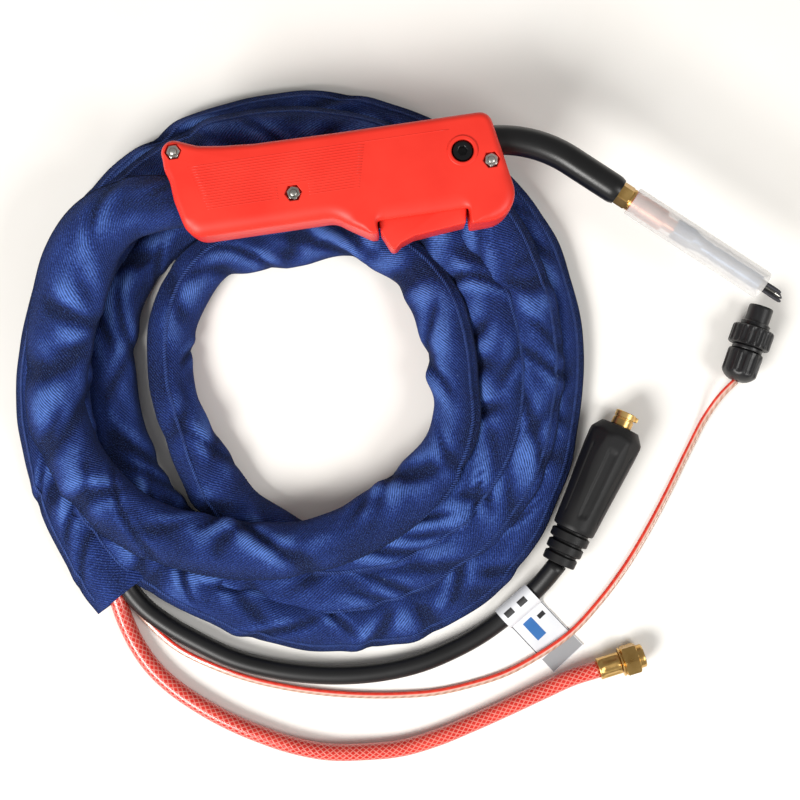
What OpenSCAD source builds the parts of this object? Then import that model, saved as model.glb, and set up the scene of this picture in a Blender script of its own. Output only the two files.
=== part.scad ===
// Welding torch: clamshell handle with trigger, bent neck, electrode head in a slip-on guard tube,
// and a fabric sleeve coiled on the table that holds power cable, gas hose and control lead.
// Millimetres. The table is z = 0, the handle lies on its side with its length along X, and the
// origin is on the table below the middle of the handle.

/* [Handle] */
// Height of the handle's middle plane above the table
handle_z = 64; // [64:1:70]
// Thickness of the handle, both half shells together
handle_t = 38; // [36:1:40]
// Wall of the half shells
wall = 2.6; // [2.2:0.1:2.8]
// Upper edge of the grip, along Y
back_y = 22.4; // [22.2:0.1:23]
// Lower edge of the grip, along Y
belly_y = -25.6; // [-26:0.1:-25]
// Lower edge of the nose, along Y
nose_y = -40.5; // [-41:0.1:-40]

/* [Trigger] */
// Rear end of the trigger bay
bay_x0 = 18.5; // [18:0.1:19]
// Front end of the trigger bay
bay_x1 = 71; // [71:0.1:71.5]
// Rim of the half shells above the trigger
bay_y = -31; // [-31.5:0.1:-30.5]
// Width of the trigger across the handle
trigger_w = 27; // [24:1:27]
// Pull of the trigger in degrees
pull = 6; // [4:0.5:6]

/* [Neck and head] */
// Outer radius of the neck's rubber cover
neck_r = 8.5; // [8:0.1:9]
// Bending radius of the neck
neck_bend_r = 74; // [70:1:80]
// Angle of the neck where it leaves the nose
neck_a0 = 8.3; // [8:0.1:9]
// Bend of the neck outside the handle
neck_bend = 33; // [30:1:36]
// Straight end of the neck
neck_end = 33; // [30:1:36]
// Width across flats of the brass collar
collar_af = 12.2; // [12:0.1:13]
// Length of the guard tube
guard_l = 90; // [86:1:94]
// Outer radius of the guard tube
guard_r = 8.5; // [8.4:0.1:8.8]

/* [Sleeve and cords] */
// Outer radius of the coiled sleeve
coil_r = 172; // [170:1:174]
// Inner radius of the coiled sleeve
coil_inner_r = 78; // [74:1:82]
// Height of the coiled sleeve
coil_h = 44.5; // [42:0.5:44.5]
// Diameter of the power cable
power_d = 12; // [11:0.5:12]
// Diameter of the gas hose
gas_d = 10.5; // [10:0.5:10.5]
// Width of the twin control lead
control_d = 3.4; // [3:0.1:3.6]

/* [Plugs] */
// Length of the power plug's rubber boot
boot_l = 92; // [90:1:94]
// Half width of the boot's front
boot_r = 16; // [15.5:0.5:16]
// Radius of the power plug's pin
pin_r = 6.5; // [6.5:0.1:6.5]
// Width across flats of the gas nut
gas_nut_af = 17; // [17:1:17]
// Radius of the control plug's coupling ring
ring_r = 13; // [12.5:0.5:13]

/* [Hidden] */
$fn = 64;

half_t = handle_t / 2;
inner_t = half_t - wall;
shell_screw_xy = [[-90, 24.5], [-26, -8.4], [87.5, -6]];
clamp_xy = [72, 1.2];
cap_r = 5.75;
clamp_boss_r = 8.6;
boss_r = 5.6;
nut_af = 7;
nut_h = 3.2;
nut_floor = 14.5;
screw_seat = 14.8;
pivot_xy = [64, -27];
pivot_r = 1.5;
bay_half = 14.3;
switch_x = [32, 52];
switch_y = [-15.5, -5.3];
switch_half = 3.2;
plunger_x = 44;
plunger_travel = (pivot_xy[0] - plunger_x) * pull * PI / 180;
spring_x = 27;
spring_y = [-29, -14.2];
power_y = 13.6;
gas_y = 2.4;
wire_y = -17;
stub_x0 = -83.5;
clamp_bar_x = -79.5;
clamp_bar_y = [-9, 21.6];
neck_exit = [96, 7.4];
tube_r = 4.9;
head_a = neck_a0 + neck_bend;
neck_arc = neck_bend_r * neck_bend * PI / 180;
neck_dir = [cos(neck_a0), -sin(neck_a0)];
neck_side = [-sin(neck_a0), -cos(neck_a0)];
head_dir = [cos(head_a), -sin(head_a)];
head_xy = neck_exit + neck_bend_r * sin(neck_bend) * neck_dir
    + neck_bend_r * (1 - cos(neck_bend)) * neck_side + neck_end * head_dir;
guard_z0 = 9.7;
guard_inner_r = 6.6;
coil_xy = [-40, -106];
coil_edge_r = 12;
plug_at = [98, -246, boot_r];
plug_a = 57.1;
hose_end_at = [114.5, -315, 9.9];
hose_end_a = 9;
control_at = [223, -151, ring_r];
control_a = 62.4;
label_w = 26;
label_l = 42;
label_at = [70.5, -269.5];
label_a = -55;

// Routes of the three leads from the sleeve's mouth to their fittings, and of the sleeve from the
// handle down onto the coil
power_route = [[-172, -206, 11], [-167, -221, 9], [-160, -235, 7], [-146, -250, 6], [-128, -264, 6],
    [-108, -277, 6], [-87, -286, 6], [-63, -293, 6], [-39, -297, 6], [-16, -298, 6], [6, -296, 6],
    [26, -291, 6], [45, -284, 6], [62, -275, 6.5], [77, -265, 9], [89, -255, 13], [98, -246, 16]];
gas_route = [[-174, -209, 10], [-175, -226, 7], [-172, -243, 5.3], [-167, -259, 5.3],
    [-159, -275, 5.3], [-148, -289, 5.3], [-134, -302, 5.3], [-117, -315, 5.3], [-99, -326, 5.3],
    [-79, -336, 5.3], [-58, -343, 5.3], [-36, -346, 5.3], [-14, -347, 5.3], [8, -344, 5.3],
    [32, -338, 5.3], [56, -331, 6], [78, -324, 7.5], [97, -318, 9.2], [114.5, -315, 9.9]];
control_route = [[-170, -206, 20], [-168, -224, 12], [-159, -246, 3], [-144, -265, 1.8],
    [-123, -280, 1.8], [-100, -292, 1.8], [-79, -300, 1.8], [-57, -306.5, 1.8], [-34, -311.5, 1.8],
    [-10, -315, 1.8], [12, -316.5, 1.8], [34, -315, 1.8], [57, -311, 2.4], [79, -303, 2.6],
    [101, -292, 2.2], [121, -276, 1.8], [141, -256, 1.8], [159, -234, 1.8], [175, -212, 1.8],
    [190, -190, 1.8], [204, -170, 4], [215, -157.5, 9.5], [223, -151, 13]];
lead_route = [[-84, -2, 64], [-96, -2, 63.5], [-110, -1, 62], [-128, -3, 59.5], [-145, -12, 56],
    [-158, -28, 51], [-169, -48, 45], [-176, -70, 38], [-180, -92, 32]];
lead_half_w = [14.5, 14.5, 17, 20, 20, 20, 20, 20, 20];
lead_half_h = 11.5;

// ---------------------------------------------------------------- helpers

function arc(c, r, a0, a1, n = 6) =
    [for (i = [0:n]) c + r * [cos(a0 + (a1 - a0) * i / n), sin(a0 + (a1 - a0) * i / n)]];

function unit(v) = v / norm(v);

// Direction of a route at point i
function tangent(p, i) = unit(p[min(i + 1, len(p) - 1)] - p[max(i - 1, 0)]);

// One ring of a swept tube: n points on an ellipse of half width w and half height h, square to the
// route, with a flat side towards the table
function ring(c, t, w, h, n) =
    let (side = unit(cross([0, 0, 1], t)), up = cross(t, side))
    [for (k = [0:n - 1]) c + w * cos(360 * (k + 0.5) / n) * side + h * sin(360 * (k + 0.5) / n) * up];

// A closed solid over rings of points, each ring turning the same way
module skin(rings) {
    m = len(rings);
    n = len(rings[0]);
    sides = [for (i = [0:m - 2], k = [0:n - 1])
        [i * n + k, (i + 1) * n + k, (i + 1) * n + (k + 1) % n, i * n + (k + 1) % n]];
    first = [for (k = [0:n - 1]) k];
    last = [for (k = [0:n - 1]) (m - 1) * n + n - 1 - k];
    polyhedron([for (r = rings) each r], concat([first], sides, [last]), convexity = 6);
}

// A closed tube along a route
module tube(route, w, h, n) {
    skin([for (i = [0:len(route) - 1]) ring(route[i], tangent(route, i), is_list(w) ? w[i] : w, h, n)]);
}

module handle_frame() {
    translate([0, 0, handle_z]) children();
}

// Along X from the point where the neck leaves the nose
module neck_frame() {
    translate([neck_exit[0], neck_exit[1], handle_z]) rotate([0, 0, -neck_a0]) children();
}

// Along Z from the end face of the neck's cover
module head_frame() {
    translate([head_xy[0], head_xy[1], handle_z]) rotate([0, 0, -head_a]) rotate([0, 90, 0]) children();
}

// Along Z from a fitting's rear end, lying on the table and turned by a
module lying_at(p, a) {
    translate(p) rotate([0, 0, a]) rotate([0, 90, 0]) children();
}

module ring_solid(r_out, r_in, h) {
    difference() {
        cylinder(r = r_out, h = h);
        translate([0, 0, -1]) cylinder(r = r_in, h = h + 2);
    }
}

module hexagon(af, h) {
    cylinder(r = af / 2 / cos(30), h = h, $fn = 6);
}

module box(x, y, z) {
    translate([x[0], y[0], z[0]]) cube([x[1] - x[0], y[1] - y[0], z[1] - z[0]]);
}

// ---------------------------------------------------------------- handle

// Side view of the handle
module outline() {
    ear = arc([-90, 24], 7.5, 200, 75, 8);
    nose_top = arc([84, back_y - 7.5], 7.5, 90, 15);
    nose_chin = arc([82, nose_y + 16.5], 16.5, 12, -90, 8);
    bay = [[bay_x1, nose_y], [bay_x1, bay_y], [bay_x0, bay_y], [bay_x0, -38.2]];
    palm_stop = concat(arc([15, -35], 3.2, 270, 225, 3), arc([-9, -37.6], 12, 45, 90, 4));
    heel = arc([-80, belly_y + 11], 11, 270, 190);
    polygon(concat(ear, [[-76, 26.3], [-62, 24.4], [-44, back_y + 0.6], [5, back_y]], nose_top,
        nose_chin, bay, palm_stop, [[-48, belly_y]], heel, [[-94, -3], [-94.8, 8], [-97, 15]]));
}

// One half of the handle without its screw seats; z = 0 is the parting plane
module half_shell() {
    step = 1.4;
    difference() {
        union() {
            linear_extrude(half_t - 3 * step) outline();
            for (i = [1:3])
                linear_extrude(half_t - (3 - i) * step) offset(delta = -i * i * 0.45) outline();
        }
        difference() {
            translate([0, 0, -1]) linear_extrude(inner_t + 1) offset(delta = -wall) outline();
            for (p = shell_screw_xy) translate([p[0], p[1], -2]) cylinder(r = boss_r, h = half_t);
            translate([clamp_xy[0], clamp_xy[1], 9]) cylinder(r = clamp_boss_r, h = half_t);
            translate([pivot_xy[0], pivot_xy[1], bay_half]) cylinder(r = 3.4, h = 4);
        }
        for (p = shell_screw_xy) translate([p[0], p[1], -2]) cylinder(r = 2.15, h = half_t + 4);
        box([bay_x0 + 0.1, bay_x1 - 0.1], [-46, -18.6], [-1, bay_half]);
        box([-101, -88], [-19, 15], [-1, 12.5]);
        translate([pivot_xy[0], pivot_xy[1], 0]) cylinder(r = pivot_r, h = inner_t + 1.2);
    }
}

// Room for the neck in the nose
module neck_room() {
    translate([neck_exit[0], neck_exit[1], 0]) rotate([0, 0, -neck_a0]) rotate([0, 90, 0])
        translate([0, 0, -14.2]) cylinder(r = neck_r + 0.1, h = 20);
}

module shell_top() {
    color("red") handle_frame() difference() {
        union() {
            half_shell();
            translate([clamp_xy[0], clamp_xy[1], half_t - 1]) cylinder(r = clamp_boss_r, h = 1.8);
        }
        for (p = shell_screw_xy)
            translate([p[0], p[1], nut_floor]) hexagon(nut_af + 1.4, half_t);
        translate([clamp_xy[0], clamp_xy[1], 8]) cylinder(r = cap_r + 0.6, h = half_t);
        neck_room();
    }
}

module shell_bottom() {
    color("red") handle_frame() {
        difference() {
            mirror([0, 0, 1]) half_shell();
            for (p = shell_screw_xy)
                translate([p[0], p[1], -half_t - 1]) cylinder(r = 3.8, h = half_t - screw_seat + 1);
            neck_room();
        }
        for (x = [36, 48]) translate([x, -7.5, -inner_t - 0.1]) ring_solid(2.4, 1, inner_t - 3.1);
        box([spring_x - 4, spring_x + 4], [-14.2, -12.2], [-inner_t - 0.1, 4]);
        for (y = clamp_bar_y) translate([clamp_bar_x, y, -inner_t - 0.1]) ring_solid(2.1, 1.25, inner_t + 5);
    }
}

module shell_screws() {
    color("silver") handle_frame() for (p = shell_screw_xy) translate([p[0], p[1], 0]) {
        translate([0, 0, -screw_seat]) cylinder(r = 2, h = screw_seat + nut_floor + nut_h + 0.4);
        difference() {
            translate([0, 0, -screw_seat - 4]) cylinder(r = 3.5, h = 4);
            translate([0, 0, -screw_seat - 4.1]) hexagon(3, 2.2);
        }
    }
}

module shell_nuts() {
    color("silver") handle_frame() for (p = shell_screw_xy)
        translate([p[0], p[1], nut_floor]) difference() {
            hexagon(nut_af, nut_h);
            translate([0, 0, -1]) cylinder(r = 2.05, h = nut_h + 2);
        }
}

// Black cap screw that tightens the neck clamp
module clamp_screw() {
    color("black") handle_frame() translate([clamp_xy[0], clamp_xy[1], 0]) {
        translate([0, 0, -7]) cylinder(r = 3, h = 16);
        difference() {
            translate([0, 0, 8.2]) cylinder(r = cap_r, h = half_t - 8.2 - 0.4);
            translate([0, 0, half_t - 4]) hexagon(5, 5);
        }
    }
}

// Block that holds the neck's inner tube between the half shells
module clamp_block() {
    color("dimgray") difference() {
        neck_frame() box([-31, -15], [-14, 7], [-8, 8]);
        neck_frame() translate([-40, 0, 0]) rotate([0, 90, 0]) cylinder(r = tube_r + 0.02, h = 30);
        handle_frame() translate([clamp_xy[0], clamp_xy[1], -9]) cylinder(r = 3.02, h = 18);
    }
}

// ---------------------------------------------------------------- trigger and switch

module trigger_outline() {
    tip = arc([26.2, -44.6], 2.8, 200, 320, 6);
    polygon(concat([[bay_x0 + 1.2, -25.5], [bay_x0 + 1.2, -37]], tip, [[38, -41.4]],
        [[68.3, -38.8], [69.7, -31.5], [69.7, -27]], [[60, -24.5]]));
}

module trigger() {
    color("red") handle_frame() difference() {
        union() {
            translate([0, 0, -trigger_w / 2]) linear_extrude(trigger_w) trigger_outline();
            translate([pivot_xy[0], pivot_xy[1], -trigger_w / 2]) cylinder(r = 3.8, h = trigger_w);
            box([plunger_x - 2, plunger_x + 2], [-27, -18.3], [-2, 2]);
        }
        translate([pivot_xy[0], pivot_xy[1], -20]) cylinder(r = pivot_r + 0.05, h = 40);
        translate([spring_x, spring_y[0] - 0.4, 0]) rotate([-90, 0, 0]) cylinder(r = 3.4, h = 8);
    }
}

module trigger_pin() {
    color("silver") handle_frame() translate([pivot_xy[0], pivot_xy[1], -inner_t - 1])
        cylinder(r = pivot_r, h = 2 * inner_t + 2);
}

// Return spring between the trigger and a shelf in the lower half shell
module trigger_spring() {
    turns = 5;
    per_turn = 12;
    n = turns * per_turn;
    sides = 6;
    wire_r = 0.4;
    coil_r = 2.4;
    travel = spring_y[1] - spring_y[0] - 2 * wire_r;
    rings = [for (i = [0:n]) [for (k = [0:sides - 1])
        let (a = 360 * i / per_turn, b = 360 * k / sides, r = coil_r + wire_r * cos(b))
        [spring_x + r * cos(a), spring_y[0] + wire_r + travel * i / n + wire_r * sin(b), r * sin(a)]]];
    color("silver") handle_frame() skin(rings);
}

module switch_body() {
    color("black") handle_frame() difference() {
        box(switch_x, switch_y, [-switch_half, switch_half]);
        translate([plunger_x, switch_y[0] - 1, 0]) rotate([-90, 0, 0]) cylinder(r = 1.45, h = 8);
        for (x = [36, 48]) translate([x, -7.5, -5]) cylinder(r = 1.05, h = 10);
    }
}

module switch_plunger() {
    color("white") handle_frame() translate([plunger_x, switch_y[0] - plunger_travel - 0.3, 0])
        rotate([-90, 0, 0]) cylinder(r = 1.4, h = 6.5);
}

module switch_screws() {
    color("silver") handle_frame() for (x = [36, 48]) translate([x, -7.5, 0]) {
        translate([0, 0, -9]) cylinder(r = 0.98, h = 12.3);
        translate([0, 0, switch_half]) cylinder(r = 1.9, h = 1.3);
    }
}

module switch_terminals() {
    color("gold") handle_frame() for (y = [-11.4, -8])
        box([switch_x[0] - 4, switch_x[0]], [y, y + 0.6], [-1.5, 1.5]);
}

// ---------------------------------------------------------------- inside the handle

// Brass block where the power cable and the gas hose join the neck's tube
module neck_fitting() {
    color("goldenrod") difference() {
        handle_frame() {
            box([38, 54], [-1.5, 18.6], [-7, 7]);
            translate([24, power_y, 0]) rotate([0, 90, 0]) cylinder(r = 5, h = 14.5);
            translate([30, gas_y, 0]) rotate([0, 90, 0]) cylinder(r = 3, h = 8.5);
        }
        neck_frame() translate([-48, 0, 0]) rotate([0, 90, 0]) cylinder(r = tube_r + 0.02, h = 10);
    }
}

module power_stub() {
    color("black") handle_frame() translate([stub_x0, power_y, 0]) rotate([0, 90, 0])
        cylinder(r = power_d / 2 - 0.2, h = 24 - stub_x0);
}

module gas_stub() {
    color("tomato") handle_frame() translate([stub_x0, gas_y, 0]) rotate([0, 90, 0])
        cylinder(r = gas_d / 2 - 0.1, h = 30 - stub_x0);
}

module wire_stub() {
    color("pink") handle_frame() box([stub_x0, 22], [wire_y - 1.7, wire_y + 1.7], [-8.9, -7.1]);
}

module cable_clamp() {
    color("silver") handle_frame() difference() {
        box([clamp_bar_x - 3.5, clamp_bar_x + 3.5], [-11.5, 23.7], [6, 9]);
        for (y = clamp_bar_y) translate([clamp_bar_x, y, 0]) cylinder(r = 1.3, h = 12);
    }
}

module cable_clamp_screws() {
    color("silver") handle_frame() for (y = clamp_bar_y) translate([clamp_bar_x, y, 0]) {
        translate([0, 0, -8]) cylinder(r = 1.2, h = 17);
        translate([0, 0, 9]) cylinder(r = 2.1, h = 1.8);
    }
}

// ---------------------------------------------------------------- neck and head

// Point on the neck's centre line at the distance s from the nose
function neck_at(s) =
    let (a = max(0, min(s, neck_arc)) / neck_bend_r * 180 / PI)
    neck_exit + min(s, 0) * neck_dir + neck_bend_r * sin(a) * neck_dir
        + neck_bend_r * (1 - cos(a)) * neck_side + max(s - neck_arc, 0) * head_dir;

function neck_route(back, front) =
    let (step = neck_arc / 8, far = neck_arc + neck_end + front)
    [for (s = concat([-back], [for (i = [-1:9]) i * step], [far])) [each neck_at(s), 0]];

module neck_pipe(r_out, r_in, back, front) {
    handle_frame() difference() {
        tube(neck_route(back, front), r_out, r_out, 24);
        tube(neck_route(back + 1, front + 1), r_in, r_in, 24);
    }
}

module neck_cover() {
    color("black") neck_pipe(neck_r, tube_r + 0.1, 14, 0);
}

module neck_tube() {
    color("goldenrod") neck_pipe(tube_r, 3, 44, 4);
}

module collar() {
    color("goldenrod") head_frame() difference() {
        union() {
            translate([0, 0, 0.2]) hexagon(collar_af, 7.6);
            translate([0, 0, 7.8]) cylinder(r = 6.6, h = 1.6);
        }
        translate([0, 0, -1]) cylinder(r = tube_r + 0.02, h = 5.1);
    }
}

module contact_body() {
    color("indianred") head_frame() {
        translate([0, 0, 9.4]) cylinder(r = 6.3, h = 22);
        translate([0, 0, 31.4]) cylinder(r = 4, h = 7);
    }
}

module chuck() {
    color("steelblue") head_frame() {
        translate([0, 0, 38.4]) hexagon(10.8, 13);
        translate([0, 0, 51.4]) cylinder(r1 = 5.4, r2 = 4.4, h = 6);
    }
}

module chuck_barrel() {
    color("slategray") head_frame() translate([0, 0, 57.4]) difference() {
        cylinder(r = 4.4, h = 40);
        translate([0, 0, 30]) cylinder(r = 3.6, h = 11);
    }
}

// Slotted fingers that hold the electrode
module prongs() {
    color("dimgray") head_frame() for (i = [0:4]) rotate([0, 0, 72 * i]) translate([2.35, 0, 87.6])
        cylinder(r = 1.2, h = 22.5 - 1.2 * (i % 3));
}

module electrode() {
    color("silver") head_frame() {
        translate([0, 0, 87.6]) cylinder(r = 1.1, h = 20);
        translate([0, 0, 107.6]) cylinder(r1 = 1.1, r2 = 0.2, h = 4);
    }
}

module guard_tube() {
    color("whitesmoke", 0.5) head_frame() translate([0, 0, guard_z0]) {
        ring_solid(guard_r, guard_inner_r, guard_l - 1);
        translate([0, 0, guard_l - 1]) ring_solid(guard_r - 0.5, guard_inner_r, 1);
    }
}

// ---------------------------------------------------------------- sleeve and cords

// Outer shape of the coiled sleeve
module sleeve_coil() {
    e = coil_edge_r;
    w = coil_r - coil_inner_r;
    color("royalblue") translate([coil_xy[0], coil_xy[1], 0]) rotate_extrude($fn = 96)
        translate([coil_inner_r, 0]) {
            translate([e, 0]) square([w - 2 * e, coil_h]);
            translate([0, e]) square([w, coil_h - 2 * e]);
            for (x = [e, w - e], y = [e, coil_h - e]) translate([x, y]) circle(e);
        }
}

module sleeve_lead() {
    color("royalblue") tube(lead_route, lead_half_w, lead_half_h, 12);
}

module power_tail() {
    color("black") tube(power_route, power_d / 2, power_d / 2, 10);
}

module gas_tail() {
    color("tomato") tube(gas_route, gas_d / 2, gas_d / 2, 10);
}

module control_tail() {
    color("pink") tube(control_route, control_d / 2, control_d / 2, 8);
}

// Paper flag wrapped round the power cable
module cable_label() {
    color("white") translate([label_at[0], label_at[1], 0]) rotate([0, 0, label_a]) {
        translate([0, -label_w / 2, 7]) rotate([-90, 0, 0]) ring_solid(6.8, 6.4, label_w);
        box([5, 7], [-label_w / 2, label_w / 2], [0.4, 3.4]);
        box([6.5, label_l], [-label_w / 2, label_w / 2], [0, 0.5]);
    }
}

// ---------------------------------------------------------------- power plug

module plug_boot() {
    neck_l = 22;
    chamfer = 8;
    color("black") lying_at(plug_at, plug_a) difference() {
        union() {
            hull() {
                translate([0, 0, neck_l]) cylinder(r = 12.5, h = 1, $fn = 32);
                translate([0, 0, boot_l - chamfer]) rotate([0, 0, 22.5])
                    cylinder(r = boot_r / cos(22.5), h = 0.5, $fn = 8);
            }
            hull() {
                translate([0, 0, boot_l - chamfer]) rotate([0, 0, 22.5])
                    cylinder(r = boot_r / cos(22.5), h = 0.5, $fn = 8);
                translate([0, 0, boot_l - 0.5]) cylinder(r = 12, h = 0.5, $fn = 32);
            }
            cylinder(r = 9.8, h = neck_l + 1);
            for (i = [0:2]) translate([0, 0, 0.5 + 7.2 * i]) cylinder(r = 10.6 + 0.8 * i, h = 5.4);
        }
        translate([0, 0, 38]) cylinder(r = 9.05, h = 46);
        translate([0, 0, 80]) cylinder(r = 7.4, h = 20);
    }
}

module plug_core() {
    color("goldenrod") lying_at(plug_at, plug_a) difference() {
        translate([0, 0, 38.2]) cylinder(r = 9, h = 45);
        translate([0, 0, 38]) cylinder(r = 5, h = 24);
        translate([0, 0, 50]) rotate([0, 90, 0]) cylinder(r = 3.02, h = 20);
    }
}

module plug_grub_screw() {
    color("gray") lying_at(plug_at, plug_a) translate([5.2, 0, 50]) rotate([0, 90, 0])
        cylinder(r = 3, h = 3.2);
}

module plug_pin() {
    color("goldenrod") lying_at(plug_at, plug_a) {
        translate([0, 0, 83.2]) cylinder(r = pin_r - 0.4, h = boot_l + 1 - 83.2);
        translate([0, 0, boot_l]) cylinder(r = pin_r, h = 9.5);
        translate([-1.5, -pin_r - 1.6, boot_l + 6]) cube([3, 4, 3]);
    }
}

// ---------------------------------------------------------------- gas fitting

module hose_ferrule() {
    color("goldenrod") lying_at(hose_end_at, hose_end_a) rotate([0, 0, 22.5])
        cylinder(r = 6.3, h = 13.5, $fn = 8);
}

module hose_nipple() {
    color("goldenrod") lying_at(hose_end_at, hose_end_a) difference() {
        union() {
            translate([0, 0, 13.5]) cylinder(r = 4.5, h = 2.8);
            translate([0, 0, 16.3]) cylinder(r1 = 5.1, r2 = 3, h = 3);
        }
        translate([0, 0, 14]) cylinder(r = 2, h = 8);
    }
}

module gas_nut() {
    color("goldenrod") lying_at(hose_end_at, hose_end_a) difference() {
        union() {
            translate([0, 0, 13.8]) cylinder(r = 8.9, h = 1.2);
            translate([0, 0, 14.8]) hexagon(gas_nut_af, 10.2);
            translate([0, 0, 25]) cylinder(r = 7.2, h = 3.7);
        }
        translate([0, 0, 13]) cylinder(r = 4.58, h = 4);
        translate([0, 0, 16]) cylinder(r = 5.9, h = 3.5);
        translate([0, 0, 19]) cylinder(r = 5.5, h = 11);
    }
}

// ---------------------------------------------------------------- control plug

module control_rear_nut() {
    color("black") lying_at(control_at, control_a) difference() {
        union() {
            cylinder(r1 = 6, r2 = 10.4, h = 3.5);
            translate([0, 0, 3.5]) cylinder(r = 10.4, h = 15.5);
            for (i = [0:11]) rotate([0, 0, 30 * i]) translate([10, -0.9, 4.5]) cube([1, 1.8, 13]);
        }
        translate([0, 0, -1]) cylinder(r = 1.8, h = 6);
        translate([0, 0, 4]) cylinder(r = 7.05, h = 20);
    }
}

module control_shell() {
    color("black") lying_at(control_at, control_a) difference() {
        union() {
            translate([0, 0, 5]) cylinder(r = 7, h = 15);
            translate([0, 0, 19.4]) cylinder(r = 9.4, h = 2.4);
            translate([0, 0, 21]) cylinder(r = 7.4, h = 14);
            translate([0, 0, 34.4]) cylinder(r = 9, h = 3);
            translate([0, 0, 37]) cylinder(r = 7.5, h = 11);
        }
        translate([0, 0, 4]) cylinder(r = 5, h = 26);
        translate([0, 0, 40]) cylinder(r = 5.8, h = 9);
    }
}

module control_ring() {
    color("black") lying_at(control_at, control_a) difference() {
        union() {
            translate([0, 0, 22.1]) cylinder(r = ring_r - 0.6, h = 12);
            for (i = [0:17]) rotate([0, 0, 20 * i]) translate([ring_r - 1.4, -0.7, 23.1]) cube([1.3, 1.4, 10]);
        }
        translate([0, 0, 20]) cylinder(r = 7.48, h = 16);
    }
}

module control_insert() {
    color("dimgray") lying_at(control_at, control_a) translate([0, 0, 40]) difference() {
        cylinder(r = 5.75, h = 6);
        for (x = [-2.4, 2.4]) translate([x, 0, -1]) cylinder(r = 1.02, h = 8);
    }
}

module control_contacts() {
    color("gold") lying_at(control_at, control_a) for (x = [-2.4, 2.4])
        translate([x, 0, 40]) cylinder(r = 1, h = 5.6);
}

shell_top();
shell_bottom();
shell_screws();
shell_nuts();
clamp_screw();
clamp_block();
trigger();
trigger_pin();
trigger_spring();
switch_body();
switch_plunger();
switch_screws();
switch_terminals();
neck_fitting();
power_stub();
gas_stub();
wire_stub();
cable_clamp();
cable_clamp_screws();
neck_cover();
neck_tube();
collar();
contact_body();
chuck();
chuck_barrel();
prongs();
electrode();
guard_tube();
sleeve_coil();
sleeve_lead();
power_tail();
gas_tail();
control_tail();
cable_label();
plug_boot();
plug_core();
plug_grub_screw();
plug_pin();
hose_ferrule();
hose_nipple();
gas_nut();
control_rear_nut();
control_shell();
control_ring();
control_insert();
control_contacts();
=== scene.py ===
"""A TIG-type torch on a pale table: red handle with a bent neck, its fabric sleeve in a loose coil,
and the power cable, gas hose and control lead that come out of the sleeve to their three plugs.
Lengths are metres in the row frame. Points that are written down as lists are millimetres."""

import math

import bmesh
import bpy
import numpy as np
from mathutils import Matrix, Vector


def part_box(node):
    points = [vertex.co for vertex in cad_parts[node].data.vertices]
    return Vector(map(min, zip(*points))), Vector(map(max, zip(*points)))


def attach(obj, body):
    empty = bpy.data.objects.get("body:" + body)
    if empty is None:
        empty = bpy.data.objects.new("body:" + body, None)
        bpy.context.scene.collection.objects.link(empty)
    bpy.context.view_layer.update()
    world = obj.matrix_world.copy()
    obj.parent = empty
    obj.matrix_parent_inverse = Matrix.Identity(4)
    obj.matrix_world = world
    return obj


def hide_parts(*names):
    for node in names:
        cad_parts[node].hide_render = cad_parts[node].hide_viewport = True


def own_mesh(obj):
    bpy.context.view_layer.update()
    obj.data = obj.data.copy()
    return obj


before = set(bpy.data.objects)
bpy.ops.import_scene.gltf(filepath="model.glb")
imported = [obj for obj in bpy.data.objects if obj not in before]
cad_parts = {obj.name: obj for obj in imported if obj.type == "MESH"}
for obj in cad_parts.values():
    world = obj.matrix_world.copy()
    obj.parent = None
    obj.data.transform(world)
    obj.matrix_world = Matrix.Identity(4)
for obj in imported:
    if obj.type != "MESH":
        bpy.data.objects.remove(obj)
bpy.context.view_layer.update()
MM = 0.001
PI = math.pi
Z = np.array([0.0, 0.0, 1.0])

# Places of the handle, in the handle's own plane
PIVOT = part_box("trigger_pin")
HANDLE_Z = (PIVOT[0].z + PIVOT[1].z) / 2
HALF_T = HANDLE_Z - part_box("shell_bottom")[0].z
WALL = 2.6 * MM
BAY_X = (18.6 * MM, 70.9 * MM)
BAY_HALF = 14.3 * MM
SHELL_SCREWS = [(-0.090, 0.0245), (-0.026, -0.0084), (0.0875, -0.006)]
SCREW_FLOOR = 14.5 * MM
RIB_COUNT = 17
RIB_PITCH = 1.55
CLAMP = (0.072, 0.0012)
TRIGGER_PIN = (0.064, -0.027)
SPRING_X = 0.027
SPRING_Y = (-29.0 * MM, -14.2 * MM)

# Neck and head
NECK_EXIT = np.array([0.096, 0.0074])
NECK_A0 = math.radians(8.3)
NECK_BEND = math.radians(33)
NECK_BEND_R = 0.074
NECK_END = 0.033
NECK_R = 0.0085
HEAD_A = NECK_A0 + NECK_BEND
FINGERS = 5
FINGER_END = 113.0
FINGER_RING = 2.35 * MM
GUARD = (9.7, 99.7)

# Cords: outer diameters, and the routes of their free ends from the sleeve's mouth
POWER_D = 0.012
GAS_D = 0.0105
CONTROL_D = 0.0034
TWIN_HALF_W = 2.1 * MM
POWER_ROUTE = [[-172, -206, 11], [-167, -221, 9], [-160, -235, 7], [-146, -250, 6], [-128, -264, 6],
               [-108, -277, 6], [-87, -286, 6], [-63, -293, 6], [-39, -297, 6], [-16, -298, 6],
               [6, -296, 6], [26, -291, 6], [45, -284, 6], [62, -275, 6.5], [77, -265, 9],
               [89, -255, 13], [98, -246, 16]]
GAS_ROUTE = [[-175, -226, 7], [-172, -243, 5.3], [-167, -259, 5.3], [-159, -275, 5.3],
             [-148, -289, 5.3], [-134, -302, 5.3], [-117, -315, 5.3], [-99, -326, 5.3],
             [-79, -336, 5.3], [-58, -343, 5.3], [-36, -346, 5.3], [-14, -347, 5.3], [8, -344, 5.3],
             [32, -338, 5.3], [56, -331, 6], [78, -324, 7.5], [97, -318, 9.2], [114.5, -315, 9.9]]
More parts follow.
